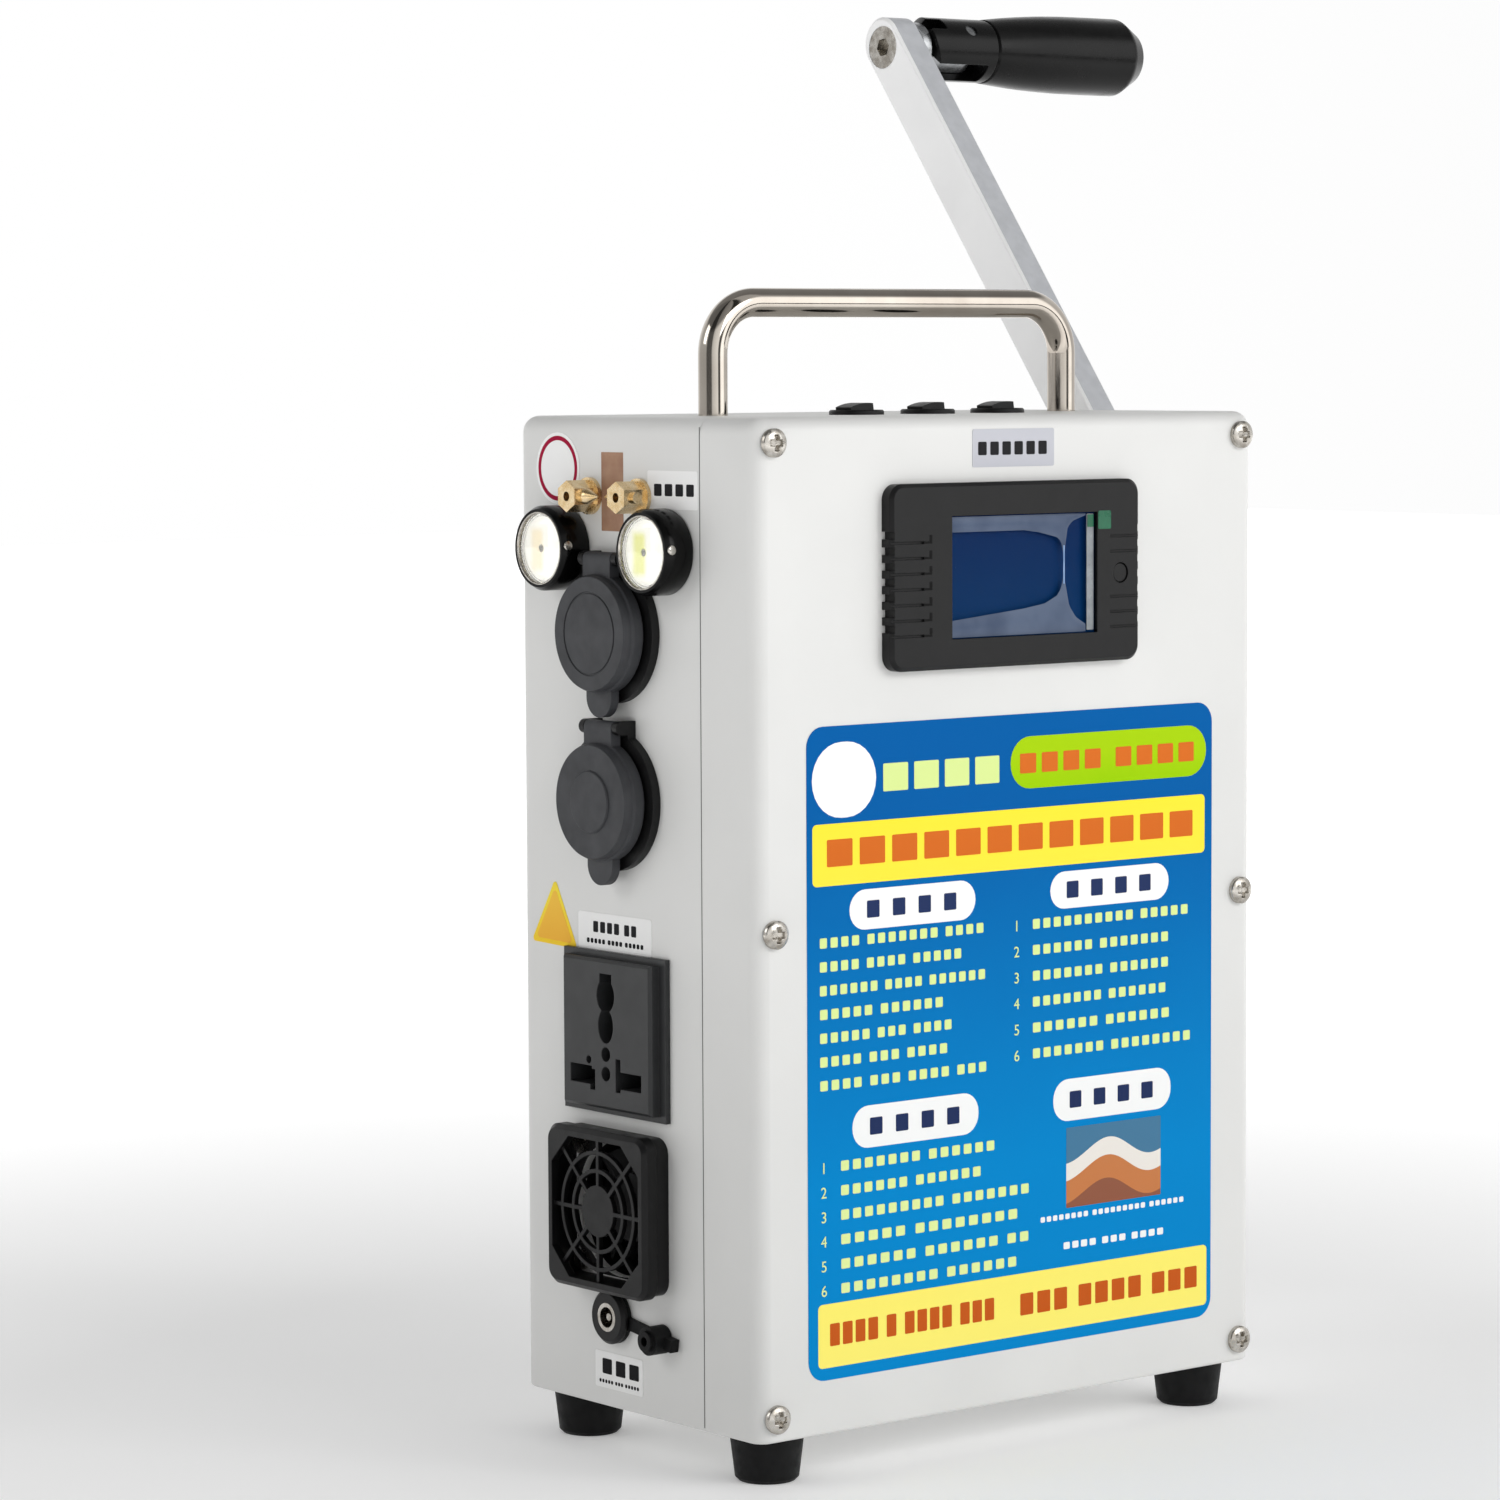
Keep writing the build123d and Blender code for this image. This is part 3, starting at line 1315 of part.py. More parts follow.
def make_grip_fork():
    """Round fork: two ears over the tongue, open towards the hub, with a stop wall on the far side."""
    start = arm_plane(arm_out_x, crank_len)
    slot_w = tongue_t + 2 * fork_slot_gap
    middle = across_plane(-slot_w / 2)
    slot_end = tongue_w / 2 + fork_stop_gap
    stop = tongue_w / 2 + fork_stop_gap
    with BuildPart() as grip_fork:
        disc(start, fork_r, fork_len)
        with BuildSketch(across_plane(-fork_r)) as keep:
            Circle(fork_ear_r)
            with Locations((fork_ear_r, 0)):
                Rectangle(2 * fork_ear_r, 4 * fork_r)
        extrude(keep.sketch, amount=2 * fork_r, mode=Mode.INTERSECT)
        with BuildSketch(middle) as slot:
            with Locations(((slot_end - fork_len) / 2, slot_side() * (fork_r - stop) / 2)):
                Rectangle(fork_len + slot_end, fork_r + stop)
        extrude(slot.sketch, amount=slot_w, mode=Mode.SUBTRACT)
        with BuildSketch(across_plane(slot_w / 2)) as notch:
            with Locations((-fork_ear_r, -slot_side() * fork_notch_w / 2)):
                Rectangle(2 * fork_notch_x, fork_notch_w)
        extrude(notch.sketch, amount=fork_r, mode=Mode.SUBTRACT)
        disc(across_plane(-fork_r), grip_pin_r, 2 * fork_r, Mode.SUBTRACT)
        disc(arm_plane(arm_out_x + fork_len, crank_len), spindle_r, -spindle_root, Mode.SUBTRACT)
    save(grip_fork, "grip_fork")


def slot_side():
    """Sign of the direction to the hub on the across plane."""
    plane = across_plane()
    along = arm_plane(pin_x).x_dir
    return -1 if plane.y_dir.dot(along) > 0 else 1


def make_grip_pin():
    with BuildPart() as grip_pin:
        disc(across_plane(-fork_r + 0.6), grip_pin_r, 2 * fork_r - 1.2)
    save(grip_pin, "grip_pin")


def make_grip_spindle():
    start = arm_plane(arm_out_x + fork_len, crank_len)
    seat = sleeve_gap + grip_len - spindle_seat + sleeve_gap
    with BuildPart() as grip_spindle:
        disc(start, spindle_r, -spindle_root)
        disc(start, spindle_r, seat)
        disc(shifted(start, out=seat), spindle_head_r, spindle_head_t)
        with BuildSketch(shifted(start, out=seat + spindle_head_t)) as socket:
            RegularPolygon(hex_socket / 2, 6, major_radius=False)
        extrude(socket.sketch, amount=-2.0, mode=Mode.SUBTRACT)
    save(grip_spindle, "grip_spindle")


def make_grip_sleeve():
    """Revolving grip: a turned body with a swelling back, a chamfered end and a stepped bore."""
    base = arm_plane(grip_x, crank_len)
    side = Plane(origin=base.origin, x_dir=base.x_dir, z_dir=base.y_dir * -1)
    bore = spindle_r + run_gap
    seat = grip_len - spindle_seat
    with BuildPart() as grip_sleeve:
        with BuildSketch(side) as profile:
            with BuildLine():
                Line((bore, 0), (grip_neck_r - 0.8, 0))
                Line((grip_neck_r - 0.8, 0), (grip_neck_r, 0.8))
                Spline(
                    (grip_neck_r, 0.8),
                    (grip_mid_r, grip_len * 0.38),
                    (grip_r, grip_len - grip_chamfer),
                    tangents=[(0.12, 1), (0, 1)],
                )
                Line((grip_r, grip_len - grip_chamfer), (grip_end_r, grip_len))
                Polyline(
                    (grip_end_r, grip_len),
                    (spindle_head_r + sleeve_gap, grip_len),
                    (spindle_head_r + sleeve_gap, seat),
                    (bore, seat),
                    (bore, 0),
                )
            make_face()
        revolve(profile.sketch, axis=Axis(base.origin, base.z_dir))
    save(grip_sleeve, "grip_sleeve")


# ---- gear train --------------------------------------------------------------------------
def gear_outline(teeth, phase):
    """Points of a spur gear with involute flanks, the first tooth centred at the phase angle."""
    pitch_r = gear_m * teeth / 2
    base = pitch_r * cos(radians(pressure_angle))
    tip_r = pitch_r + addendum * gear_m
    root_r = pitch_r - dedendum * gear_m
    half_pitch = pi / (2 * teeth) - tooth_play / (2 * pitch_r)
    pitch_inv = tan(radians(pressure_angle)) - radians(pressure_angle)
    start_r = max(base, root_r)
    flank = [start_r, (start_r + tip_r) / 2, tip_r] if teeth < big_teeth else [start_r, tip_r]
    points = []
    for i in range(teeth):
        middle = radians(phase) + 2 * pi * i / teeth
        for sign, radii in ((-1, flank), (1, list(reversed(flank)))):
            for radius in radii:
                angle = acos(base / radius)
                half = half_pitch + pitch_inv - (tan(angle) - angle)
                if sign < 0 and radius == start_r and root_r < base:
                    points.append((root_r * cos(middle - half), root_r * sin(middle - half)))
                spot = middle + sign * half
                points.append((radius * cos(spot), radius * sin(spot)))
                if sign > 0 and radius == start_r and root_r < base:
                    points.append((root_r * cos(spot), root_r * sin(spot)))
    return points


def gear(z, x, teeth, phase, length):
    prism(right_plane(0, z, x), gear_outline(teeth, phase), length)


def mesh_phase(teeth):
    """Turns a pinion so that a gap faces the gear above it."""
    return 90 - 180 / teeth


def make_drive_gear():
    with BuildPart() as drive_gear:
        gear(crank_z, layer_a, big_teeth, 0, gear_face)
        disc(right_plane(0, crank_z, layer_a), shaft_r, gear_face, Mode.SUBTRACT)
        with BuildSketch(right_plane(0, crank_z, layer_a)) as holes:
            with PolarLocations(18, 6):
                Circle(5)
        extrude(holes.sketch, amount=gear_face, mode=Mode.SUBTRACT)
    save(drive_gear, "drive_gear")


def make_idler_gear():
    with BuildPart() as idler_gear:
        disc(right_plane(0, idler_z, layer_b - 2), 5.0, 2 * gear_face + layer_gap + 2.5)
        gear(idler_z, layer_a, small_teeth, mesh_phase(small_teeth), gear_face)
        gear(idler_z, layer_b, big_teeth, 0, gear_face)
        disc(right_plane(0, idler_z, layer_b - 2), idler_pin_r + run_gap, 3 * gear_face, Mode.SUBTRACT)
    save(idler_gear, "idler_gear")


def make_gearbox_frame():
    """Two plates, four pillars and the fixed idler axle."""
    low = generator_z - plate_low
    high = crank_z + plate_top
    wide = plate_front + plate_rear
    mid_y = (plate_rear - plate_front) / 2
    mid_z = (low + high) / 2
    with BuildPart() as gearbox_frame:
        bar(right_plane(mid_y, mid_z, plate_x - outer_plate_t), wide, high - low, outer_plate_t, 4.0)
        bar(right_plane(mid_y, mid_z, inner_plate_x), wide, high - low, inner_plate_t, 4.0)
        for y in (pillar_in - plate_front, plate_rear - pillar_in):
            for z in (low + pillar_in, high - pillar_in):
                disc(right_plane(y, z, inner_plate_x), pillar_r, gearbox_len)
        disc(right_plane(0, idler_z, inner_plate_x), idler_pin_r, gearbox_len)
        disc(right_plane(0, crank_z, inner_plate_x), inner_bearing_r, inner_plate_t, Mode.SUBTRACT)
        disc(right_plane(0, generator_z, inner_plate_x), rotor_bearing_r, inner_plate_t, Mode.SUBTRACT)
        disc(right_plane(0, crank_z, plate_x), shaft_collar_r, -outer_plate_t, Mode.SUBTRACT)
        flange_holes(plate_x - outer_plate_t, flange_screw_r + run_gap, outer_plate_t)
    save(gearbox_frame, "gearbox_frame")


# ---- generator ---------------------------------------------------------------------------
def generator_rear_x():
    """Where the rear bearing starts, inside the can's end wall."""
    return inner_plate_x - generator_len + generator_wall


def make_generator_can():
    front = right_plane(0, generator_z, inner_plate_x)
    rear = right_plane(0, generator_z, generator_rear_x())
    with BuildPart() as generator_can:
        disc(front, generator_r, -generator_len)
        disc(front, generator_r - generator_wall, generator_wall - generator_len, Mode.SUBTRACT)
        disc(rear, rotor_bearing_r + generator_wall, rotor_bearing_wide)
        disc(rear, rotor_bearing_r, rotor_bearing_wide, Mode.SUBTRACT)
    save(generator_can, "generator_can")


def stator_x():
    return inner_plate_x - (generator_len + rotor_len) / 2


def make_generator_stator():
    """Slotted iron ring with its winding heads."""
    outer = generator_r - generator_wall
    inner = rotor_r + air_gap
    ring = right_plane(0, generator_z, stator_x())
    with BuildPart() as generator_stator:
        disc(ring, outer, rotor_len)
        with BuildSketch(ring) as slots:
            with PolarLocations((outer + inner) / 2, stator_slots):
                Rectangle(outer - inner - 3, slot_w)
        extrude(slots.sketch, amount=rotor_len, mode=Mode.SUBTRACT)
        for x in (stator_x() - coil_len, stator_x() + rotor_len):
            disc(right_plane(0, generator_z, x), outer - 1.5, coil_len)
        start = right_plane(0, generator_z, stator_x() - coil_len)
        disc(start, inner, rotor_len + 2 * coil_len, Mode.SUBTRACT)
    save(generator_stator, "generator_stator")


def make_generator_rotor():
    """Rotor body on its shaft, with the pinion at the gearbox end."""
    start = generator_rear_x() + 1.0
    with BuildPart() as generator_rotor:
        disc(right_plane(0, generator_z, start), rotor_shaft_r, layer_b + gear_face - start)
        disc(right_plane(0, generator_z, stator_x()), rotor_r, rotor_len)
        gear(generator_z, layer_b, small_teeth, mesh_phase(small_teeth), gear_face)
    save(generator_rotor, "generator_rotor")


# ---- battery and boards ------------------------------------------------------------------
def make_battery():
    pack_w = cells_x * cell_pitch
    pack_d = cells_y * cell_pitch
    floor = wall + holder_t - holder_grip
    top_holder = floor + cell_h - holder_grip
    with BuildPart() as battery_cells:
        with BuildSketch(Plane((pack_x, pack_y, floor))) as cells:
            with GridLocations(cell_pitch, cell_pitch, cells_x, cells_y):
                Circle(cell_r)
        extrude(cells.sketch, amount=cell_h)
    save(battery_cells, "battery_cells")
    with BuildPart() as battery_holders:
        bar(Plane((pack_x, pack_y, wall)), pack_w, pack_d, holder_t, 3.0)
        bar(Plane((pack_x, pack_y, top_holder)), pack_w, pack_d, holder_t, 3.0)
        for z in (floor, top_holder):
            with BuildSketch(Plane((pack_x, pack_y, z))) as seats:
                with GridLocations(cell_pitch, cell_pitch, cells_x, cells_y):
                    Circle(cell_r + cell_play)
            extrude(seats.sketch, amount=holder_grip, mode=Mode.SUBTRACT)
    save(battery_holders, "battery_holders")


def make_inverter():
    low = board_z - standoff_h
    x0, x1 = inverter_x
    middle = (x0 + x1) / 2
    top = board_z + board_t
    with BuildPart() as inverter_board:
        bar(Plane((middle, 0, board_z)), x1 - x0, inverter_d, board_t)
        with BuildSketch(Plane((pack_x, pack_y, low))) as posts:
            with GridLocations(cell_pitch * (cells_x - 1), cell_pitch * (cells_y - 1), 2, 2):
                Circle(standoff_r)
        extrude(posts.sketch, amount=standoff_h)
        length, depth, height = transformer
        bar(Plane((middle, 0, top)), length, depth, height, 2.0)
        for y in (-1, 1):
            disc(Plane((x0 + 14, y * 22, top)), capacitor_r, capacitor_h)
    save(inverter_board, "inverter_board")
    with BuildPart() as heat_sinks:
        for side in (-1, 1):
            for i in range(sink_fins):
                y = side * (inverter_d / 2 - 2 - i * sink_pitch)
                bar(Plane((pack_x, y, top)), sink_len, sink_fin, sink_h)
            web = side * (inverter_d / 2 - 2 - sink_pitch * (sink_fins - 1) / 2)
            bar(Plane((pack_x, web, top)), sink_len, sink_pitch * (sink_fins - 1), 3.0)
    save(heat_sinks, "heat_sinks")


def make_charge_board():
    rear = case_d / 2 - wall - charge_boss_h
    face = Plane(origin=(0, rear, charge_z), x_dir=(1, 0, 0), z_dir=(0, -1, 0))
    with BuildPart() as charge_board:
        bar(face, charge_w, charge_h, board_t)
        top = shifted(face, out=board_t)
        for side in (-1, 1):
            disc(shifted(top, right=side * choke_pitch / 2, up=choke_up), choke_r, choke_h)
        bar(shifted(top, up=-contact_strip_down), contact_strip_w, contact_strip_h, contact_strip_t)
    save(charge_board, "charge_board")


make_rear_shell()
make_front_cover()
make_case_screws()
make_feet()
make_carry_handle()
make_handle_screws()
make_meter_bezel()
make_meter_window()
make_meter_display()
make_meter_key()
make_lamps()
make_spark_posts()
make_spark_needles()
make_spark_module()
make_usb_socket()
make_usb_ports()
make_lighter_socket()
make_usb_cap()
make_lighter_cap()
make_ac_socket()
make_fan_guard()
make_fan_frame()
make_fan_rotor()
make_fan_screws()
make_dc_jack()
make_dc_dust_cap()
make_panel_nuts()
make_switch_bodies()
for rocker_x, rocker_name in zip(rocker_xs, ("rocker_left", "rocker_middle", "rocker_right")):
    make_rocker(rocker_x, rocker_name)
make_crank_flange()
make_flange_screws()
make_ball_bearings()
make_crank_shaft()
make_crank_arm()
make_hub_screw()
make_grip_bracket()
make_grip_screw()
make_grip_fork()
make_grip_pin()
make_grip_spindle()
make_grip_sleeve()
make_drive_gear()
make_idler_gear()
make_gearbox_frame()
make_generator_can()
make_generator_stator()
make_generator_rotor()
make_battery()
make_inverter()
make_charge_board()
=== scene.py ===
"""Looks of the hand crank generator: camera, light, finishes, labels and small fittings."""
from math import cos, pi, radians, sin

import bmesh
import bpy
import numpy as np
from mathutils import Matrix, Vector


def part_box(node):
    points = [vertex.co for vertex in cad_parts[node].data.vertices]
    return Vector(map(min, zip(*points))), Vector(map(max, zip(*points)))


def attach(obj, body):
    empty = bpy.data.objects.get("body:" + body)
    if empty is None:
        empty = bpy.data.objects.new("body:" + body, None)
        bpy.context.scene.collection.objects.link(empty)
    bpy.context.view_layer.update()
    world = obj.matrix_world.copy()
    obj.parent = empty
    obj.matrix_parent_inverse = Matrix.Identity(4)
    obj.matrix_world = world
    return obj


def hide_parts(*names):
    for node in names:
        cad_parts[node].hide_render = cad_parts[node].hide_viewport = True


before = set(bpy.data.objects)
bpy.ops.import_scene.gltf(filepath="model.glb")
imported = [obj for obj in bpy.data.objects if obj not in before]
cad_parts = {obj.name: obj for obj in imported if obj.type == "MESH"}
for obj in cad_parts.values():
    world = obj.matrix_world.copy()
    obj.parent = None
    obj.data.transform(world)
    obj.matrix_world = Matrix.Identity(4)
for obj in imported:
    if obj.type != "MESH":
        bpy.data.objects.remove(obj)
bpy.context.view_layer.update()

MM = 0.001

# ---- sizes that the pieces share with the frame, in millimetres ------------------------------
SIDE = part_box("rear_shell")[1][0] / MM
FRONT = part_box("front_cover")[0][1] / MM
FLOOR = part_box("feet")[0][2] / MM
PORT_Y = 7.6             # centre line of the ports on the left side
FAN_Z = 55.4
SEAM_Y = -28.9           # joint between the front cover and the rear shell
SCREW_X = 84.2           # cover screws, either side of the middle
SCREW_Z = (6.5, 134.5, 262.5)
SCREW_HEAD_R = 3.75
SCREW_HEAD_H = 2.3
FOOT_AT = (77.0, 39.0)   # feet, either side of the middle
FOOT_RECESS = 5.5        # depth of the screw's seat inside a foot
LAMP_Y = (30.25, -15.05)
LAMP_Z = 233.5
STUCK = 0.02             # underside of a sticker over its wall
FILM = 0.12              # outer face of a sticker
INK = 0.05               # thickness of a printed layer on it

# ---- light -----------------------------------------------------------------------------------
KEY = 17.0               # power of the key light
FILL = 4.5               # power of the light from the upper left
ROOM_TURN = -51.2        # degrees that set the room's first stop
ROOM_AROUND = (          # brightness round the room, from place 0 to 1
    (0.0, 0.9), (0.11, 1.3), (0.125, 0.1), (0.16, 0.12), (0.18, 2.0), (0.25, 2.0), (0.28, 0.8),
    (0.5, 1.0), (0.62, 1.0), (0.68, 0.62), (0.85, 0.55), (0.87, 0.12), (0.97, 0.14), (0.985, 0.8),
)
ROOM_UP = ((0.0, 1.0), (0.5, 1.0), (0.62, 0.32), (1.0, 0.3))   # its share from level to overhead


# ---- colour and node helpers -----------------------------------------------------------------
def linear(text):
    """An sRGB hex colour as linear red, green, blue and alpha."""
    parts = np.array([int(text[i:i + 2], 16) for i in (1, 3, 5)]) / 255
    value = np.where(parts <= 0.04045, parts / 12.92, ((parts + 0.055) / 1.055) ** 2.4)
    return (*value.tolist(), 1.0)


def add(tree, kind, links=None, values=None, **settings):
    """A node with its settings, its socket values and its incoming links."""
    node = tree.nodes.new("ShaderNode" + kind)
    for key, value in settings.items():
        setattr(node, key, value)
    for key, value in (values or {}).items():
        node.inputs[key].default_value = value
    for key, source in (links or {}).items():
        tree.links.new(source, node.inputs[key])
    return node


def surface(name, colour, roughness, **values):
    """A new material's node tree, its shader and its Object coordinates."""
    made = bpy.data.materials.new(name)
    made.use_nodes = True
    tree = made.node_tree
    tree.nodes.clear()
    settings = {"Base Color": linear(colour), "Roughness": roughness}
    settings.update({key.replace("_", " "): value for key, value in values.items()})
    shader = add(tree, "BsdfPrincipled", values=settings)
    add(tree, "OutputMaterial", {"Surface": shader.outputs[0]})
    place = add(tree, "TexCoord").outputs["Object"]
    return made, tree, shader, place


def per_metre(size_mm):
    """Noise scale whose grain has that size."""
    return 1 / (size_mm * MM)


def fill_ramp(node, stops):
    """Sets a ramp's stops from (place, linear colour) pairs."""
    ramp = node.color_ramp
    while len(ramp.elements) < len(stops):
        ramp.elements.new(0.5)
    for element, (position, colour) in zip(ramp.elements, stops):
        element.position = position
        element.color = colour


def mottled(tree, shader, place, colours, size_mm):
    """Base colour that wanders between two close tones."""
    noise = add(tree, "TexNoise", {"Vector": place}, {"Scale": per_metre(size_mm), "Detail": 3.0})
    ramp = add(tree, "ValToRGB", {"Fac": noise.outputs["Fac"]})
    fill_ramp(ramp, ((0.35, linear(colours[0])), (0.65, linear(colours[1]))))
    tree.links.new(ramp.outputs["Color"], shader.inputs["Base Color"])
    return ramp


def uneven_gloss(tree, shader, place, low, high, size_mm):
    """Roughness that wanders between two values."""
    noise = add(tree, "TexNoise", {"Vector": place}, {"Scale": per_metre(size_mm), "Detail": 4.0})
    spread = add(tree, "MapRange", {"Value": noise.outputs["Fac"]},
                 {"From Min": 0.3, "From Max": 0.7, "To Min": low, "To Max": high})
    tree.links.new(spread.outputs["Result"], shader.inputs["Roughness"])


def grain(tree, shader, place, size_mm, depth_mm, edge_mm=0.25):
    """Fine moulded or blasted grain, on edges that are slightly rounded."""
    edge = add(tree, "Bevel", values={"Radius": edge_mm * MM}, samples=4)
    noise = add(tree, "TexNoise", {"Vector": place}, {"Scale": per_metre(size_mm), "Detail": 2.0})
    bump = add(tree, "Bump", {"Height": noise.outputs["Fac"], "Normal": edge.outputs["Normal"]},
               {"Strength": 1.0, "Distance": depth_mm * MM})
    tree.links.new(bump.outputs["Normal"], shader.inputs["Normal"])


def lines_along(tree, place, stretch):
    """Coordinates stretched along one axis, so that noise draws lines that way."""
    return add(tree, "Mapping", {"Vector": place}, {"Scale": stretch}).outputs["Vector"]


# ---- finishes --------------------------------------------------------------------------------
def case_abs():
    """Light grey ABS, injection moulded: satin, with a fine spark-eroded grain."""
    made, tree, shader, place = surface("moulded_grey_abs", "#dededc", 0.42, IOR=1.53)
    mottled(tree, shader, place, ("#dcdcda", "#e1e1df"), 60.0)
    uneven_gloss(tree, shader, place, 0.38, 0.48, 14.0)
    grain(tree, shader, place, 0.7, 0.012, 0.5)
    return made


def black_abs(name="moulded_black_abs", colours=("#080809", "#0c0c0d"), low=0.36, high=0.48):
    """Black ABS, injection moulded: a dark grey sheen on its fine texture."""
    made, tree, shader, place = surface(name, colours[0], low, IOR=1.36)
    mottled(tree, shader, place, colours, 9.0)
    uneven_gloss(tree, shader, place, low, high, 4.0)
    grain(tree, shader, place, 0.5, 0.015, 0.35)
    return made


def outlet_face():
    """Polycarbonate outlet insert: dark grey and a little glossier than the trim round it."""
    return black_abs("polycarbonate_outlet", ("#2d2e2f", "#323334"), 0.3, 0.4)


def cap_rubber():
    """Thermoplastic rubber caps: slate black, matt, with paler patches."""
    return black_abs("moulded_cap_rubber", ("#37383b", "#3f4043"), 0.44, 0.6)


def soft_rubber():
    """Natural rubber feet and tether: deep black and dull, with a slight bloom."""
    made, tree, shader, place = surface("vulcanised_rubber", "#060707", 0.58, IOR=1.3)
    mottled(tree, shader, place, ("#040405", "#08090a"), 5.0)
    uneven_gloss(tree, shader, place, 0.45, 0.68, 3.0)
    grain(tree, shader, place, 0.4, 0.02, 0.4)
    return made


def gloss_grip():
    """Phenolic grip, moulded and buffed: near black with a clear high gloss."""
    made, tree, shader, place = surface("buffed_phenolic", "#030303", 0.25, IOR=1.27)
    mottled(tree, shader, place, ("#050505", "#090909"), 12.0)
    uneven_gloss(tree, shader, place, 0.2, 0.3, 6.0)
    grain(tree, shader, place, 1.2, 0.004, 0.4)
    return made


def anodised_black():
    """Turned aluminium, anodised black: deep and glossy, with faint tool lines."""
    made, tree, shader, place = surface("black_anodised_aluminium", "#030303", 0.2, IOR=1.25)
    mottled(tree, shader, place, ("#020202", "#060606"), 6.0)
    uneven_gloss(tree, shader, lines_along(tree, place, (6.0, 1.0, 1.0)), 0.16, 0.24, 2.0)
    return made


def polished_steel():
    """Stainless rod, drawn and polished: bright, with fine draw lines along its length."""
    made, tree, shader, place = surface("polished_stainless_rod", "#b9b1a6", 0.1, Metallic=1.0)
    mottled(tree, shader, place, ("#b3aaa0", "#c2bbb1"), 20.0)
    drawn = lines_along(tree, place, (0.06, 1.0, 0.06))
    uneven_gloss(tree, shader, drawn, 0.05, 0.11, 0.5)
    return made


def plated_screws():
    """Nickel plated screws: bright, slightly warm, with darker patches in the plating."""
    made, tree, shader, place = surface("nickel_plated_screw", "#bdb8b0", 0.24, Metallic=1.0)
    mottled(tree, shader, place, ("#a39d94", "#cbc7c0"), 2.2)
    uneven_gloss(tree, shader, place, 0.16, 0.34, 1.2)
    return made


def satin_steel():
    """Turned and ground steel: grey, with fine tool lines."""
    made, tree, shader, place = surface("ground_steel", "#a9abad", 0.3, Metallic=1.0)
    mottled(tree, shader, place, ("#9a9c9e", "#b3b5b7"), 3.0)
    uneven_gloss(tree, shader, lines_along(tree, place, (1.0, 8.0, 1.0)), 0.22, 0.38, 0.8)
    return made


def painted_arm():
    """Pale aluminium bar with painted light and shade: faces that point along X are white as if lit, the
    other faces grey as if in shade.
    """
    made, tree, shader, place = surface("aluminium_bar_painted_shade", "#f2f3f5", 0.38, IOR=1.5)
    # painted light and shade: the tone is chosen by which way each face points
    axes = add(tree, "SeparateXYZ", {"Vector": add(tree, "TexCoord").outputs["Normal"]})
    level = add(tree, "Math", {0: axes.outputs["X"]}, operation="ABSOLUTE")
    broad = 0.6              # a normal nearer to X than this is on a broad face
    face = add(tree, "Math", {0: level.outputs[0]}, {1: broad}, operation="GREATER_THAN")
    # painted light: white on the broad faces
    white = mottled(tree, shader, place, ("#f6f6f6", "#fbfbfb"), 18.0)
    # painted shade: grey on the narrow edges
    edge = mottled(tree, shader, place, ("#b4b6ba", "#bdbfc3"), 4.0)
    tones = {"Factor": face.outputs[0], "A": edge.outputs["Color"], "B": white.outputs["Color"]}
    colour = add(tree, "Mix", tones, data_type="RGBA")
    tree.links.new(colour.outputs["Result"], shader.inputs["Base Color"])
    uneven_gloss(tree, shader, place, 0.34, 0.44, 5.0)
    grain(tree, shader, place, 0.8, 0.008, 0.5)
    return made


def turned_brass():
    """Free-cutting brass, turned and milled: yellow gold, with small dull patches."""
    made, tree, shader, place = surface("turned_brass", "#e4cca0", 0.26, Metallic=1.0)
    mottled(tree, shader, place, ("#d8bb8a", "#eed8b0"), 2.4)
    uneven_gloss(tree, shader, lines_along(tree, place, (6.0, 1.0, 1.0)), 0.18, 0.36, 0.7)
    return made


def clear_acrylic():
    """Cast acrylic window: clear, with a faint gloss of its own."""
    made, tree, shader, place = surface("cast_acrylic", "#02070f", 0.04, IOR=1.3, Alpha=0.03)
    uneven_gloss(tree, shader, place, 0.02, 0.05, 10.0)
    return made


def clear_lens():
    """Polycarbonate lamp lens: clear with a bright rim."""
    made, tree, shader, place = surface("polycarbonate_lens", "#fdfdfa", 0.05, IOR=1.45,
                                        Transmission_Weight=0.85, Coat_Weight=0.5, Coat_Roughness=0.04)
    uneven_gloss(tree, shader, place, 0.03, 0.08, 4.0)
    return made


def lamp_phosphor():
    """Phosphor patch on a white reflector: cream in the rear lamp, yellow-green in the front one. Board and
    patch glow evenly as painted light.
    """
    made, tree, shader, place = surface("phosphor_board_painted_glow", "#f6f5ef", 0.5, Emission_Strength=0.75)
    axes = add(tree, "SeparateXYZ", {"Vector": place})
    middle = (LAMP_Y[0] + LAMP_Y[1]) / 2 * MM
    front = add(tree, "Math", {0: axes.outputs["Y"]}, {1: middle}, operation="LESS_THAN")
    cream_and_green = {"A": linear("#efe2c4"), "B": linear("#dfe07c")}
    tint = add(tree, "Mix", {"Factor": front.outputs[0]}, cream_and_green, data_type="RGBA")
    near = [patch_share(tree, axes, y) for y in LAMP_Y]
    both = add(tree, "Math", {0: near[0], 1: near[1]}, operation="MAXIMUM")
    mixed = add(tree, "Mix", {"Factor": both.outputs[0], "B": tint.outputs["Result"]},
                {"A": linear("#f7f6f1")}, data_type="RGBA")
    tree.links.new(mixed.outputs["Result"], shader.inputs["Base Color"])
    # painted light: the board's own colours drive its glow
    tree.links.new(mixed.outputs["Result"], shader.inputs["Emission Color"])
    return made


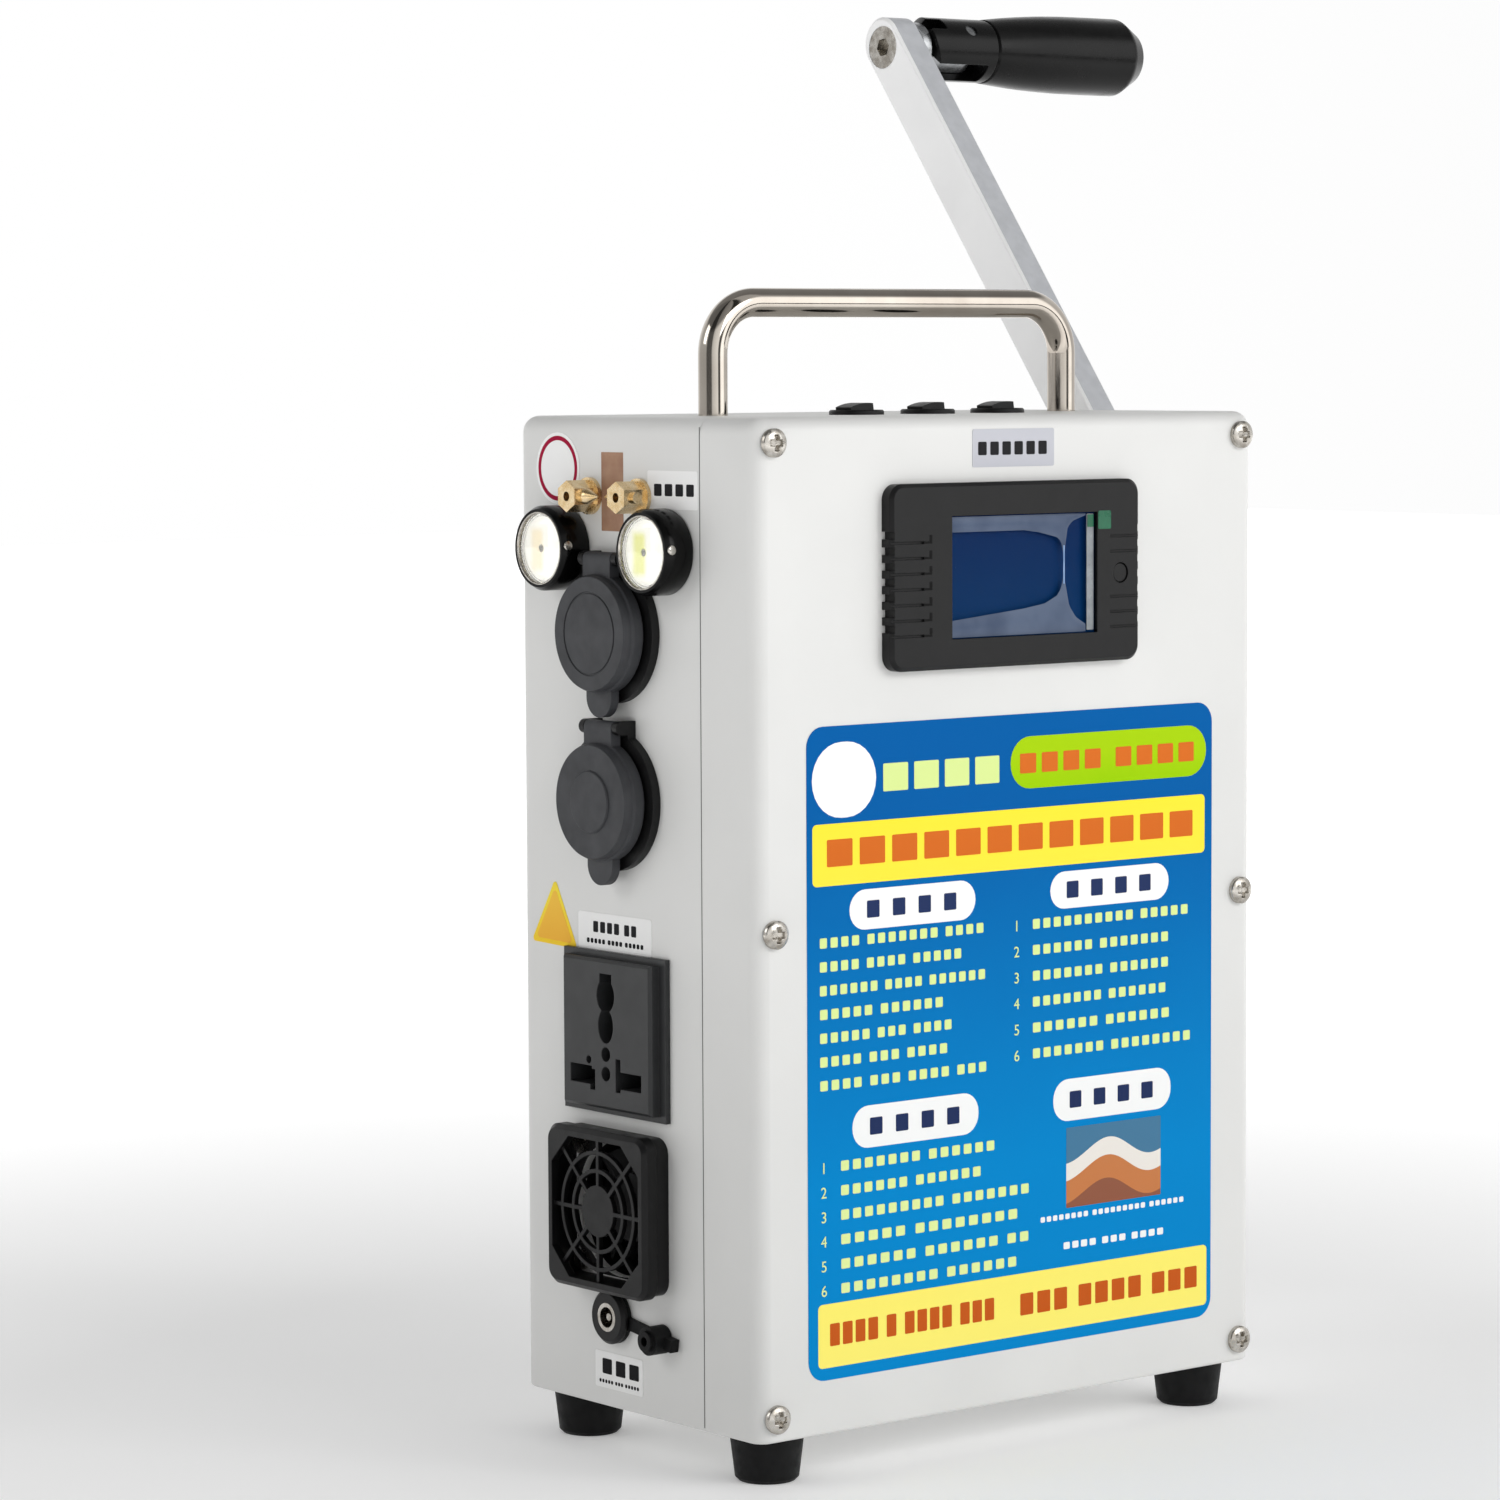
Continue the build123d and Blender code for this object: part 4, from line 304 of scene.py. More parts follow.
def patch_share(tree, axes, lamp_y):
    """One inside a lamp's phosphor patch and zero outside, with soft edges on all sides."""
    off_y, off_z = 3.4, -0.5
    half_y, half_z = 1.6, 4.2
    soft = 2.4
    halves = []
    for axis, centre, half in (("Y", lamp_y + off_y, half_y), ("Z", LAMP_Z + off_z, half_z)):
        off = add(tree, "Math", {0: axes.outputs[axis]}, {1: centre * MM}, operation="SUBTRACT")
        far = add(tree, "Math", {0: off.outputs[0]}, operation="ABSOLUTE")
        share = add(tree, "MapRange", {"Value": far.outputs[0]},
                    {"From Min": half * MM, "From Max": (half + soft) * MM, "To Min": 1.0, "To Max": 0.0},
                    interpolation_type="SMOOTHSTEP")
        halves.append(share.outputs["Result"])
    return add(tree, "Math", {0: halves[0], 1: halves[1]}, operation="MULTIPLY").outputs[0]


def display_glass():
    """Unlit display panel: deep blue, a little darker and more violet towards its top, and glowing faintly
    as painted light.
    """
    made, tree, shader, place = surface("display_panel_painted_glow", "#03284f", 0.4, IOR=1.15, Emission_Strength=0.3)
    axes = add(tree, "SeparateXYZ", {"Vector": place})
    low_z, high_z = 209.5, 242.3
    span = {"From Min": low_z * MM, "From Max": high_z * MM}
    height = add(tree, "MapRange", {"Value": axes.outputs["Z"]}, span)
    ramp = add(tree, "ValToRGB", {"Fac": height.outputs["Result"]})
    fill_ramp(ramp, ((0.0, linear("#022c55")), (1.0, linear("#06214b"))))
    # painted light: the same ramp also drives the unlit panel's glow
    for socket in ("Base Color", "Emission Color"):
        tree.links.new(ramp.outputs["Color"], shader.inputs[socket])
    return made


def printed(name, top, bottom, low_z, high_z, roughness=0.34):
    """Printed vinyl film: a smooth colour run under a satin laminate."""
    made, tree, shader, place = surface(name, top, roughness, IOR=1.1)
    axes = add(tree, "SeparateXYZ", {"Vector": place})
    noise = add(tree, "TexNoise", {"Vector": place}, {"Scale": per_metre(25.0), "Detail": 2.0})
    wander = add(tree, "Math", {0: noise.outputs["Fac"]}, {1: 12 * MM}, operation="MULTIPLY")
    height = add(tree, "Math", {0: axes.outputs["Z"], 1: wander.outputs[0]}, operation="ADD")
    span = {"From Min": low_z * MM, "From Max": high_z * MM}
    share = add(tree, "MapRange", {"Value": height.outputs[0]}, span)
    ramp = add(tree, "ValToRGB", {"Fac": share.outputs["Result"]})
    fill_ramp(ramp, ((0.0, linear(bottom)), (1.0, linear(top))))
    tree.links.new(ramp.outputs["Color"], shader.inputs["Base Color"])
    uneven_gloss(tree, shader, place, roughness - 0.06, roughness + 0.08, 12.0)
    return made


def plain_board(name, colours, roughness=0.5, metallic=0.0):
    """A plain inner part: its real colour with slight unevenness."""
    made, tree, shader, place = surface(name, colours[0], roughness, Metallic=metallic)
    mottled(tree, shader, place, colours, 4.0)
    uneven_gloss(tree, shader, place, roughness - 0.08, roughness + 0.08, 3.0)
    return made


# ---- surfaces --------------------------------------------------------------------------------
def grid_quads(rows, columns, closed_u=True):
    """Faces of a grid of points; the first direction runs round if closed."""
    index = np.arange(rows * columns).reshape(rows, columns)
    ahead = np.roll(index, -1, axis=0)
    if not closed_u:
        index, ahead = index[:-1], ahead[:-1]
    return np.stack([index[:, :-1], ahead[:, :-1], ahead[:, 1:], index[:, 1:]], axis=-1).reshape(-1, 4)


def grid_piece(name, points, finish, body, closed_u=True, smooth=True):
    """A piece from a grid of points in millimetres."""
    quads = grid_quads(*points.shape[:2], closed_u)
    return mesh_piece(name, points.reshape(-1, 3), quads, finish, body, smooth)


def mesh_piece(name, points, quads, finish, body, smooth=False):
    """An object at the origin from points in millimetres and faces, doubles merged, facing out."""
    mesh = bpy.data.meshes.new(name)
    mesh.from_pydata((points * MM).tolist(), [], quads.tolist())
    work = bmesh.new()
    work.from_mesh(mesh)
    bmesh.ops.remove_doubles(work, verts=work.verts, dist=2e-6)
    bmesh.ops.dissolve_degenerate(work, edges=work.edges, dist=1e-6)
    bmesh.ops.recalc_face_normals(work, faces=work.faces)
    for face in work.faces:
        face.smooth = smooth
    work.to_mesh(mesh)
    work.free()
    mesh.materials.append(finish)
    piece = bpy.data.objects.new(name, mesh)
    bpy.context.scene.collection.objects.link(piece)
    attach(piece, body)
    return piece


def rounded_outline(width, height, radius, steps=8):
    """Points round a rectangle whose corners are quarter circles of that radius."""
    radius = min(radius, width / 2, height / 2)
    turn = np.linspace(0, pi / 2, steps)
    corners = []
    for i, (sx, sy) in enumerate(((1, 1), (-1, 1), (-1, -1), (1, -1))):
        angle = turn + i * pi / 2
        x = sx * (width / 2 - radius) + radius * np.cos(angle)
        y = sy * (height / 2 - radius) + radius * np.sin(angle)
        corners.append(np.stack([x, y], axis=1))
    return np.concatenate(corners)


def slab(outline, low, high):
    """A flat slab: the outline drawn in to its middle, at the top height, round the rim, and below."""
    middle = outline.mean(axis=0)
    rings = [(0.0, high), (1.0, high), (1.0, low), (0.0, low)]
    layers = []
    for share, level in rings:
        flat = middle + share * (outline - middle)
        layers.append(np.column_stack([flat, np.full(len(flat), level)]))
    return np.stack(layers, axis=1)


def on_front(points):
    """Flat (right, up, out) points to the front face."""
    return np.stack([points[..., 0], FRONT - points[..., 2], points[..., 1]], axis=-1)


def on_left(points):
    """Flat (rearward, up, out) points to the left side face."""
    return np.stack([-SIDE - points[..., 2], points[..., 0], points[..., 1]], axis=-1)


def label(name, box, radius, low, high, wall, finish, body="case"):
    """A rounded rectangular film between two heights over its wall; box is x0, x1, z0, z1."""
    x0, x1, z0, z1 = box
    outline = rounded_outline(x1 - x0, z1 - z0, radius) + ((x0 + x1) / 2, (z0 + z1) / 2)
    return grid_piece(name, wall(slab(outline, low, high)), finish, body, smooth=False)


def bars(name, boxes, low, high, wall, finish, radius=0.35):
    """Many small rounded bars in one piece; each box is x0, x1, z0, z1."""
    grids = []
    for x0, x1, z0, z1 in boxes:
        outline = rounded_outline(x1 - x0, z1 - z0, radius, 3) + ((x0 + x1) / 2, (z0 + z1) / 2)
        grids.append(wall(slab(outline, low, high)))
    rows, columns = grids[0].shape[:2]
    one = grid_quads(rows, columns)
    quads = np.concatenate([one + k * rows * columns for k in range(len(grids))])
    points = np.concatenate([grid.reshape(-1, 3) for grid in grids])
    return mesh_piece(name, points, quads, finish, "case")


def turned(centre, axis, profile, steps=64):
    """A profile of (radius, height) pairs carried round an axis through the centre."""
    axis = np.array(axis, float) / np.linalg.norm(axis)
    side = np.cross(axis, (0.0, 0.0, 1.0) if abs(axis[2]) < 0.9 else (1.0, 0.0, 0.0))
    side /= np.linalg.norm(side)
    other = np.cross(axis, side)
    turn = np.linspace(0, 2 * pi, steps, endpoint=False)[:, None, None]
    radius = np.array([p[0] for p in profile])[None, :, None]
    height = np.array([p[1] for p in profile])[None, :, None]
    spoke = np.cos(turn) * side + np.sin(turn) * other
    return np.array(centre, float) + radius * spoke + height * axis


# ---- camera, light and floor -----------------------------------------------------------------
def make_camera():
    """The photograph's view: a long lens from the front left, slightly above."""
    yaw, pitch, roll = -0.67668, -0.07807, -0.0048
    place = Vector((-899.054, -1056.732, 284.082)) * MM
    ahead = Vector((-sin(yaw) * cos(pitch), cos(yaw) * cos(pitch), sin(pitch)))
    right = Vector((cos(yaw), sin(yaw), 0))
    up = right.cross(ahead)
    level, tall = right * cos(roll) + up * sin(roll), up * cos(roll) - right * sin(roll)
    lens = bpy.data.cameras.new("camera")
    lens.sensor_width = 36.0
    lens.lens = 119.84
    lens.clip_start = 0.05
    lens.clip_end = 20.0
    camera = bpy.data.objects.new("camera", lens)
    camera.matrix_world = Matrix((
        (level.x, tall.x, -ahead.x, place.x),
        (level.y, tall.y, -ahead.y, place.y),
        (level.z, tall.z, -ahead.z, place.z),
        (0, 0, 0, 1),
    ))
    bpy.context.scene.collection.objects.link(camera)
    bpy.context.scene.camera = camera


def area_light(name, place, target, width, height, power):
    """A soft box that faces its target."""
    lamp = bpy.data.lights.new(name, "AREA")
    lamp.shape = "RECTANGLE"
    lamp.size, lamp.size_y, lamp.energy = width, height, power
    lit = bpy.data.objects.new(name, lamp)
    way = Vector(target) - Vector(place)
    lit.rotation_euler = way.to_track_quat("-Z", "Y").to_euler()
    lit.location = place
    bpy.context.scene.collection.objects.link(lit)


def stage_sheet(name, corners, finish):
    """One flat face of the studio that belongs to no piece."""
    mesh = bpy.data.meshes.new(name)
    mesh.from_pydata(corners, [], [(0, 1, 2, 3)])
    mesh.materials.append(finish)
    sheet = bpy.data.objects.new(name, mesh)
    bpy.context.scene.collection.objects.link(sheet)
    return sheet


def floor_paper():
    """White paper sweep: matt, and lit so that it meets the white room far away."""
    made, tree, shader, place = surface("studio_floor", "#f4f4f4", 0.8, Emission_Color=linear("#ffffff"))
    mottled(tree, shader, place, ("#f2f2f2", "#f6f6f6"), 400.0)
    away = add(tree, "VectorMath", {0: place}, operation="LENGTH")
    glow = add(tree, "MapRange", {"Value": away.outputs["Value"]},
               {"From Min": 0.25, "From Max": 1.1, "To Min": 0.2, "To Max": 0.9})
    tree.links.new(glow.outputs["Result"], shader.inputs["Emission Strength"])
    return made


def make_studio():
    """White floor, a dark card that the front's gloss reflects, the room and two soft boxes."""
    size = 6.0
    z = FLOOR * MM
    corners = [(-size, -size, z), (size, -size, z), (size, size, z), (-size, size, z)]
    stage_sheet("floor", corners, floor_paper())

    black = surface("black_card", "#0a0a0a", 0.9)[0]
    near, far, low, high = (0.7, -1.9), (1.7, -1.1), 0.07, 0.23
    corners = [(*near, low), (*far, low), (*far, high), (*near, high)]
    stage_sheet("dark_card", corners, black).visible_camera = False
    make_room()
    area_light("key", (0.6, -2.2, 1.3), (0.0, -0.05, 0.14), 1.4, 1.0, KEY)
    area_light("left_fill", (-1.5, 0.6, 1.1), (0.0, 0.05, 0.3), 0.8, 0.8, FILL)
    bpy.context.scene.view_settings.view_transform = "Standard"


def make_room():
    """A pale room with two narrow dark bands and a dimmer ceiling, so that metal shows bands."""
    world = bpy.data.worlds.new("room")
    bpy.context.scene.world = world
    world.use_nodes = True
    tree = world.node_tree
    tree.nodes.clear()
    way = add(tree, "TexCoord").outputs["Generated"]
    turn = add(tree, "Mapping", {"Vector": way}, {"Rotation": (0.0, 0.0, radians(ROOM_TURN))})
    around = add(tree, "TexGradient", {"Vector": turn.outputs["Vector"]}, gradient_type="RADIAL")
    ring = add(tree, "ValToRGB", {"Fac": around.outputs["Fac"]})
    height = add(tree, "SeparateXYZ", {"Vector": way})
    rise = add(tree, "ValToRGB", {"Fac": height.outputs["Z"]})
    for node, levels in ((ring, ROOM_AROUND), (rise, ROOM_UP)):
        fill_ramp(node, [(place, (level, level, level, 1.0)) for place, level in levels])
    both = add(tree, "Mix", {"A": ring.outputs["Color"], "B": rise.outputs["Color"]}, {"Factor": 1.0},
               data_type="RGBA", blend_type="MULTIPLY")
    back = add(tree, "Background", {"Color": both.outputs["Result"]}, {"Strength": 1.0})
    add(tree, "OutputWorld", {"Surface": back.outputs[0]})


# ---- finishes of the frame's own pieces ------------------------------------------------------
def dress_nodes():
    """Gives each node its material, and smooths its rounded faces."""
    shell, trim, outlet, caps = case_abs(), black_abs(), outlet_face(), cap_rubber()
    rubber, grip, anodised = soft_rubber(), gloss_grip(), anodised_black()
    rod, screws, steel, arm = polished_steel(), plated_screws(), satin_steel(), painted_arm()
    brass, window, lens = turned_brass(), clear_acrylic(), clear_lens()
    phosphor, display = lamp_phosphor(), display_glass()
    green = plain_board("lacquered_board", ("#1d5639", "#226343"))
    wrap = plain_board("cell_wrap", ("#2c6bb0", "#3575bb"), 0.35)
    cast = plain_board("cast_aluminium", ("#9ea1a3", "#acafb1"), 0.42, 1.0)
    copper = plain_board("enamelled_copper", ("#9a5527", "#b06a35"), 0.35, 1.0)
    finishes = {
        shell: "rear_shell front_cover",
        trim: "meter_bezel meter_key fan_guard fan_frame fan_rotor dc_jack switch_bodies rocker_left "
              "rocker_middle rocker_right usb_socket lighter_socket lighter_base spark_module "
              "battery_holders crank_flange",
        outlet: "ac_socket",
        caps: "usb_cap lighter_cap",
        rubber: "feet dc_dust_cap",
        grip: "grip_sleeve grip_fork",
        anodised: "lamp_bodies",
        rod: "carry_handle",
        screws: "case_screws hub_screw grip_screw dc_contact fan_screws",
        steel: "handle_screws panel_nuts usb_ports lighter_sleeve flange_screws grip_pin grip_spindle "
               "grip_bracket crank_shaft ball_bearings drive_gear idler_gear generator_rotor",
        arm: "crank_arm",
        brass: "spark_posts spark_needles lighter_contact",
        window: "meter_window",
        lens: "lamp_lenses",
        phosphor: "lamp_boards",
        display: "meter_display",
        green: "inverter_board charge_board",
        wrap: "battery_cells",
        cast: "gearbox_frame generator_can heat_sinks",
        copper: "generator_stator",
    }
    for finish, names in finishes.items():
        for name in names.split():
            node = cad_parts[name]
            node.data.materials.clear()
            node.data.materials.append(finish)
            node.data.polygons.foreach_set("use_smooth", np.ones(len(node.data.polygons), bool))
            weld = node.modifiers.new("weld", "WELD")
            weld.merge_threshold = 1e-6
            split = node.modifiers.new("crisp_edges", "EDGE_SPLIT")
            split.split_angle = radians(32)


# ---- small fittings --------------------------------------------------------------------------
def cross_head(centre, axis, radius, height):
    """Pan head with a cross recess: a dome over polar steps, sunk where two bars cross."""
    rings, spokes = 22, 72
    reach = np.concatenate([np.linspace(0, 0.96, rings), [1.0, 1.0]])[None, :]
    turn = np.linspace(0, 2 * pi, spokes, endpoint=False)[:, None]
    flat_x = radius * reach * np.cos(turn)
    flat_y = radius * reach * np.sin(turn)
    dome = height * (1 - 0.42 * reach ** 3)
    narrow = np.minimum(np.abs(flat_x), np.abs(flat_y))
    wide = np.maximum(np.abs(flat_x), np.abs(flat_y))
    bar_half, bar_reach = 0.115 * 2 * radius, 0.58 * radius
    inside = np.clip((bar_half - narrow) / 0.22, 0, 1) * np.clip((bar_reach - wide) / 0.25, 0, 1)
    level = dome - inside * height * 0.75 * np.clip(1.25 - wide / radius, 0, 1)
    level[:, -1] = 0.0
    axis = np.array(axis, float)
    side = np.array((1.0, 0.0, 0.0))
    other = np.cross(axis, side)
    flat = np.array(centre) + flat_x[..., None] * side + flat_y[..., None] * other
    return flat + level[..., None] * axis


def make_screw_heads():
    """The cover's six cross-recessed screws and the four under the feet."""
    plated = bpy.data.materials["nickel_plated_screw"]
    seats = []
    for x in (-SCREW_X, SCREW_X):
        for z in SCREW_Z:
            seats.append(("cover", (x, FRONT, z), (0, -1, 0)))
    for x in (-FOOT_AT[0], FOOT_AT[0]):
        for y in (-FOOT_AT[1], FOOT_AT[1]):
            seats.append(("foot", (x, y, FLOOR + FOOT_RECESS), (0, 0, -1)))
    for number, (kind, centre, axis) in enumerate(seats):
        points = cross_head(centre, axis, SCREW_HEAD_R, SCREW_HEAD_H)
        piece = grid_piece(f"{kind}_screw_head_{number}", points, plated, "case")
        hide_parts("case_screws")


def make_lamp_trim():
    """Each lamp's bright ring round its lens, reflector disc behind it and grub screw in its side."""
    chrome, white = bpy.data.materials["nickel_plated_screw"], bpy.data.materials["phosphor_board_painted_glow"]
    ring = [(9.35, 8.4), (9.45, 8.9), (9.7, 9.05), (9.95, 8.9), (9.95, 8.2), (9.35, 8.0), (9.35, 8.4)]
    bead = [(0, 5.68), (9.0, 5.68), (9.4, 5.9), (9.4, 5.4), (0, 5.4)]
    grub = [(0, 11.75), (1.1, 11.75), (1.3, 11.6), (1.3, 11.0), (0, 11.0)]
    grub_out = 7.4           # from the case's side
    for name, y in zip(("rear", "front"), LAMP_Y):
        centre = (-SIDE, y, LAMP_Z)
        grid_piece(f"lamp_ring_{name}", turned(centre, (-1, 0, 0), ring), chrome, "case")
        # the disc takes the glowing board material: painted light
        grid_piece(f"lamp_bead_{name}", turned(centre, (-1, 0, 0), bead, 32), white, "case")
        points = turned((-SIDE - grub_out, y, LAMP_Z), (0, -1, 0.08), grub, 24)
        grid_piece(f"lamp_grub_{name}", points, chrome, "case")


def make_seam():
    """Fine shadow in the joint between the front cover and the rear shell, on the left side."""
    made = black_abs("joint_shadow", ("#6c6c6a", "#767674"), 0.8, 0.9)
    half, low_z, high_z = 0.14, 1.2, 266.5
    bars("joint_shadow", [(SEAM_Y - half, SEAM_Y + half, low_z, high_z)], 0.01, 0.06, on_left, made, 0.1)


def make_fan_seal():
    """Thin dark gasket between the fan's guard and the wall: eight-sided outside, round inside."""
    made = black_abs("fan_gasket", ("#070707", "#0b0b0c"), 0.7, 0.85)
    half, cut, hole_r, high = 19.0, 3.6, 18.7, 0.15
    turn = np.linspace(0, 2 * pi, 64, endpoint=False)
    square = half / np.maximum(np.abs(np.cos(turn)), np.abs(np.sin(turn)))
    eighth = turn - pi / 4
    slant = 2 ** 0.5 * (half - cut) / np.maximum(np.abs(np.cos(eighth)), np.abs(np.sin(eighth)))
    outer = np.minimum(square, slant)
    hole = np.full(len(turn), hole_r)
    radius = np.stack([hole, outer, outer, hole, hole], axis=1)
    level = np.array([high, high, STUCK, STUCK, high]) * np.ones_like(radius)
    flat_y = PORT_Y + radius * np.cos(turn)[:, None]
    flat_z = FAN_Z + radius * np.sin(turn)[:, None]
    points = on_left(np.stack([flat_y, flat_z, level], axis=-1))
    grid_piece("fan_gasket", points, made, "case", smooth=False)


def make_rib_slots():
    """Painted shade: short dark strips at the inner ends of the meter's left rib lines, where their slots
    lie in shade.
    """
    made = black_abs("slot_shadow", ("#020202", "#040404"), 0.8, 0.9)
    top_z, pitch, rows = 237.6, 4.12, 7
    start_x, turn_x, end_x = -36.0, -34.0, -33.0
    half, rise = 0.3, 2.0
    boxes = []
    for row in range(rows):
        z = top_z - pitch * (row + 0.5)
        boxes += [(start_x, end_x, z - half, z + half), (turn_x, end_x, z + half, z + rise)]
    bars("meter_rib_slot_shade", boxes, 3.9, 4.02, on_front, made, 0.2)


def make_screen_film():
    """Protective film on the window, lifted above and below with its milky grey-blue a painted reflection,
    and a painted highlight down a fold between.

    Each lifted field runs from the window's edge to a smooth line through a few chosen heights, and
    bulges outward by a half sine."""
    low, high, out, bulge = 209.8, 242.0, 2.9, 0.12
    # painted reflection: the lifted film's grey-blue stands in for the room reflected in it
    made, tree, shader, place = surface("lifted_film_painted_reflection", "#4c5a72", 0.22, IOR=1.3)
    mottled(tree, shader, place, ("#414e66", "#57647b"), 16.0)
    # painted highlight: a pale narrow strip down the film
    fold_highlight, tree, shader, place = surface("film_fold_painted_highlight", "#7f9cc4", 0.2, IOR=1.3)
    mottled(tree, shader, place, ("#7390ba", "#8ba6cc"), 3.0)
    left, right = -25.8, 22.9
    x = np.linspace(left, right, 90)
    stops = (left, 0.4, 6.0, 12.4, 14.0, 14.7, 15.3, 16.4, 18.3, right)
    upper = np.interp(x, stops, (237.9, 237.9, 237.2, 235.75, 234.6, 231.5, 231.5, 238.3, 240.0, 241.4))
    stops = (left, 0.4, 8.0, 12.5, 14.0, 14.7, 15.3, 17.0, 19.5, right)
    lower = np.interp(x, stops, (214.3, 216.8, 217.9, 219.9, 221.8, 224.5, 224.5, 217.0, 213.8, 211.9))
    share = np.linspace(0, 1, 6)[None, :]
    for name, edge, border in (("upper", upper, high), ("lower", lower, low)):
        height = border + (edge - border)[:, None] * share
        lift = out + bulge * np.sin(pi * share) * np.ones_like(height)
        points = np.stack([np.repeat(x[:, None], 6, axis=1), FRONT - lift, height], axis=-1)
        grid_piece(f"screen_film_{name}", points, made, "case", closed_u=False)
    # place of the painted highlight strip
    fold = (14.75, 15.25, 223.0, 233.5)
    label("screen_film_fold_painted_highlight", fold, 0.24, out, out + 0.15, on_front, fold_highlight)


def make_screen_tabs():
    """The film's pull tab in green and the pale strip down its right edge."""
    green = plain_board("green_tab_film", ("#075a3c", "#0c6644"), 0.3)
    pale = plain_board("clear_film_edge", ("#7f8387", "#92979b"), 0.25)
    label("screen_film_edge", (23.4, 25.9, 210.2, 241.8), 0.3, 2.7, 2.95, on_front, pale)
    label("screen_film_tab", (26.6, 31.3, 237.6, 242.6), 0.5, 4.02, 4.14, on_front, green)
    label("screen_film_tab_root", (23.6, 25.8, 238.2, 241.6), 0.3, 2.96, 3.1, on_front, green)


# ---- printed labels --------------------------------------------------------------------------
def words(x0, x1, z, height, pattern, gap=0.3):
    """Boxes of a plain broken rule from x0 to x1: cells in groups that follow the pattern."""
    cells = sum(pattern) + 0.45 * (len(pattern) - 1)
    pitch = (x1 - x0) / cells
    boxes = []
    start = x0
    for count in pattern:
        for _ in range(count):
            boxes.append((start, start + pitch * (1 - gap), z - height / 2, z + height / 2))
            start += pitch
        start += 0.45 * pitch
    return boxes


def numerals(name, x, rows, height, finish):
    """Plain numbers down the start of numbered rows, made mesh."""
    for number, z in enumerate(rows, start=1):
        text = bpy.data.curves.new(f"{name}_{number}", "FONT")
        text.body = str(number)
        text.size = height * MM
        text.extrude = INK / 2 * MM
        holder = bpy.data.objects.new(f"{name}_{number}", text)
        bpy.context.scene.collection.objects.link(holder)
        bpy.context.view_layer.update()
        mesh = bpy.data.meshes.new_from_object(holder)
        bpy.data.objects.remove(holder)
        base_z = z - height * 0.36
        place = Matrix.Translation((x * MM, (FRONT - FILM - INK * 1.5) * MM, base_z * MM))
        mesh.transform(place @ Matrix.Rotation(pi / 2, 4, "X"))
        mesh.materials.clear()
        mesh.materials.append(finish)
        piece = bpy.data.objects.new(f"{name}_{number}", mesh)
        bpy.context.scene.collection.objects.link(piece)
        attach(piece, "case")


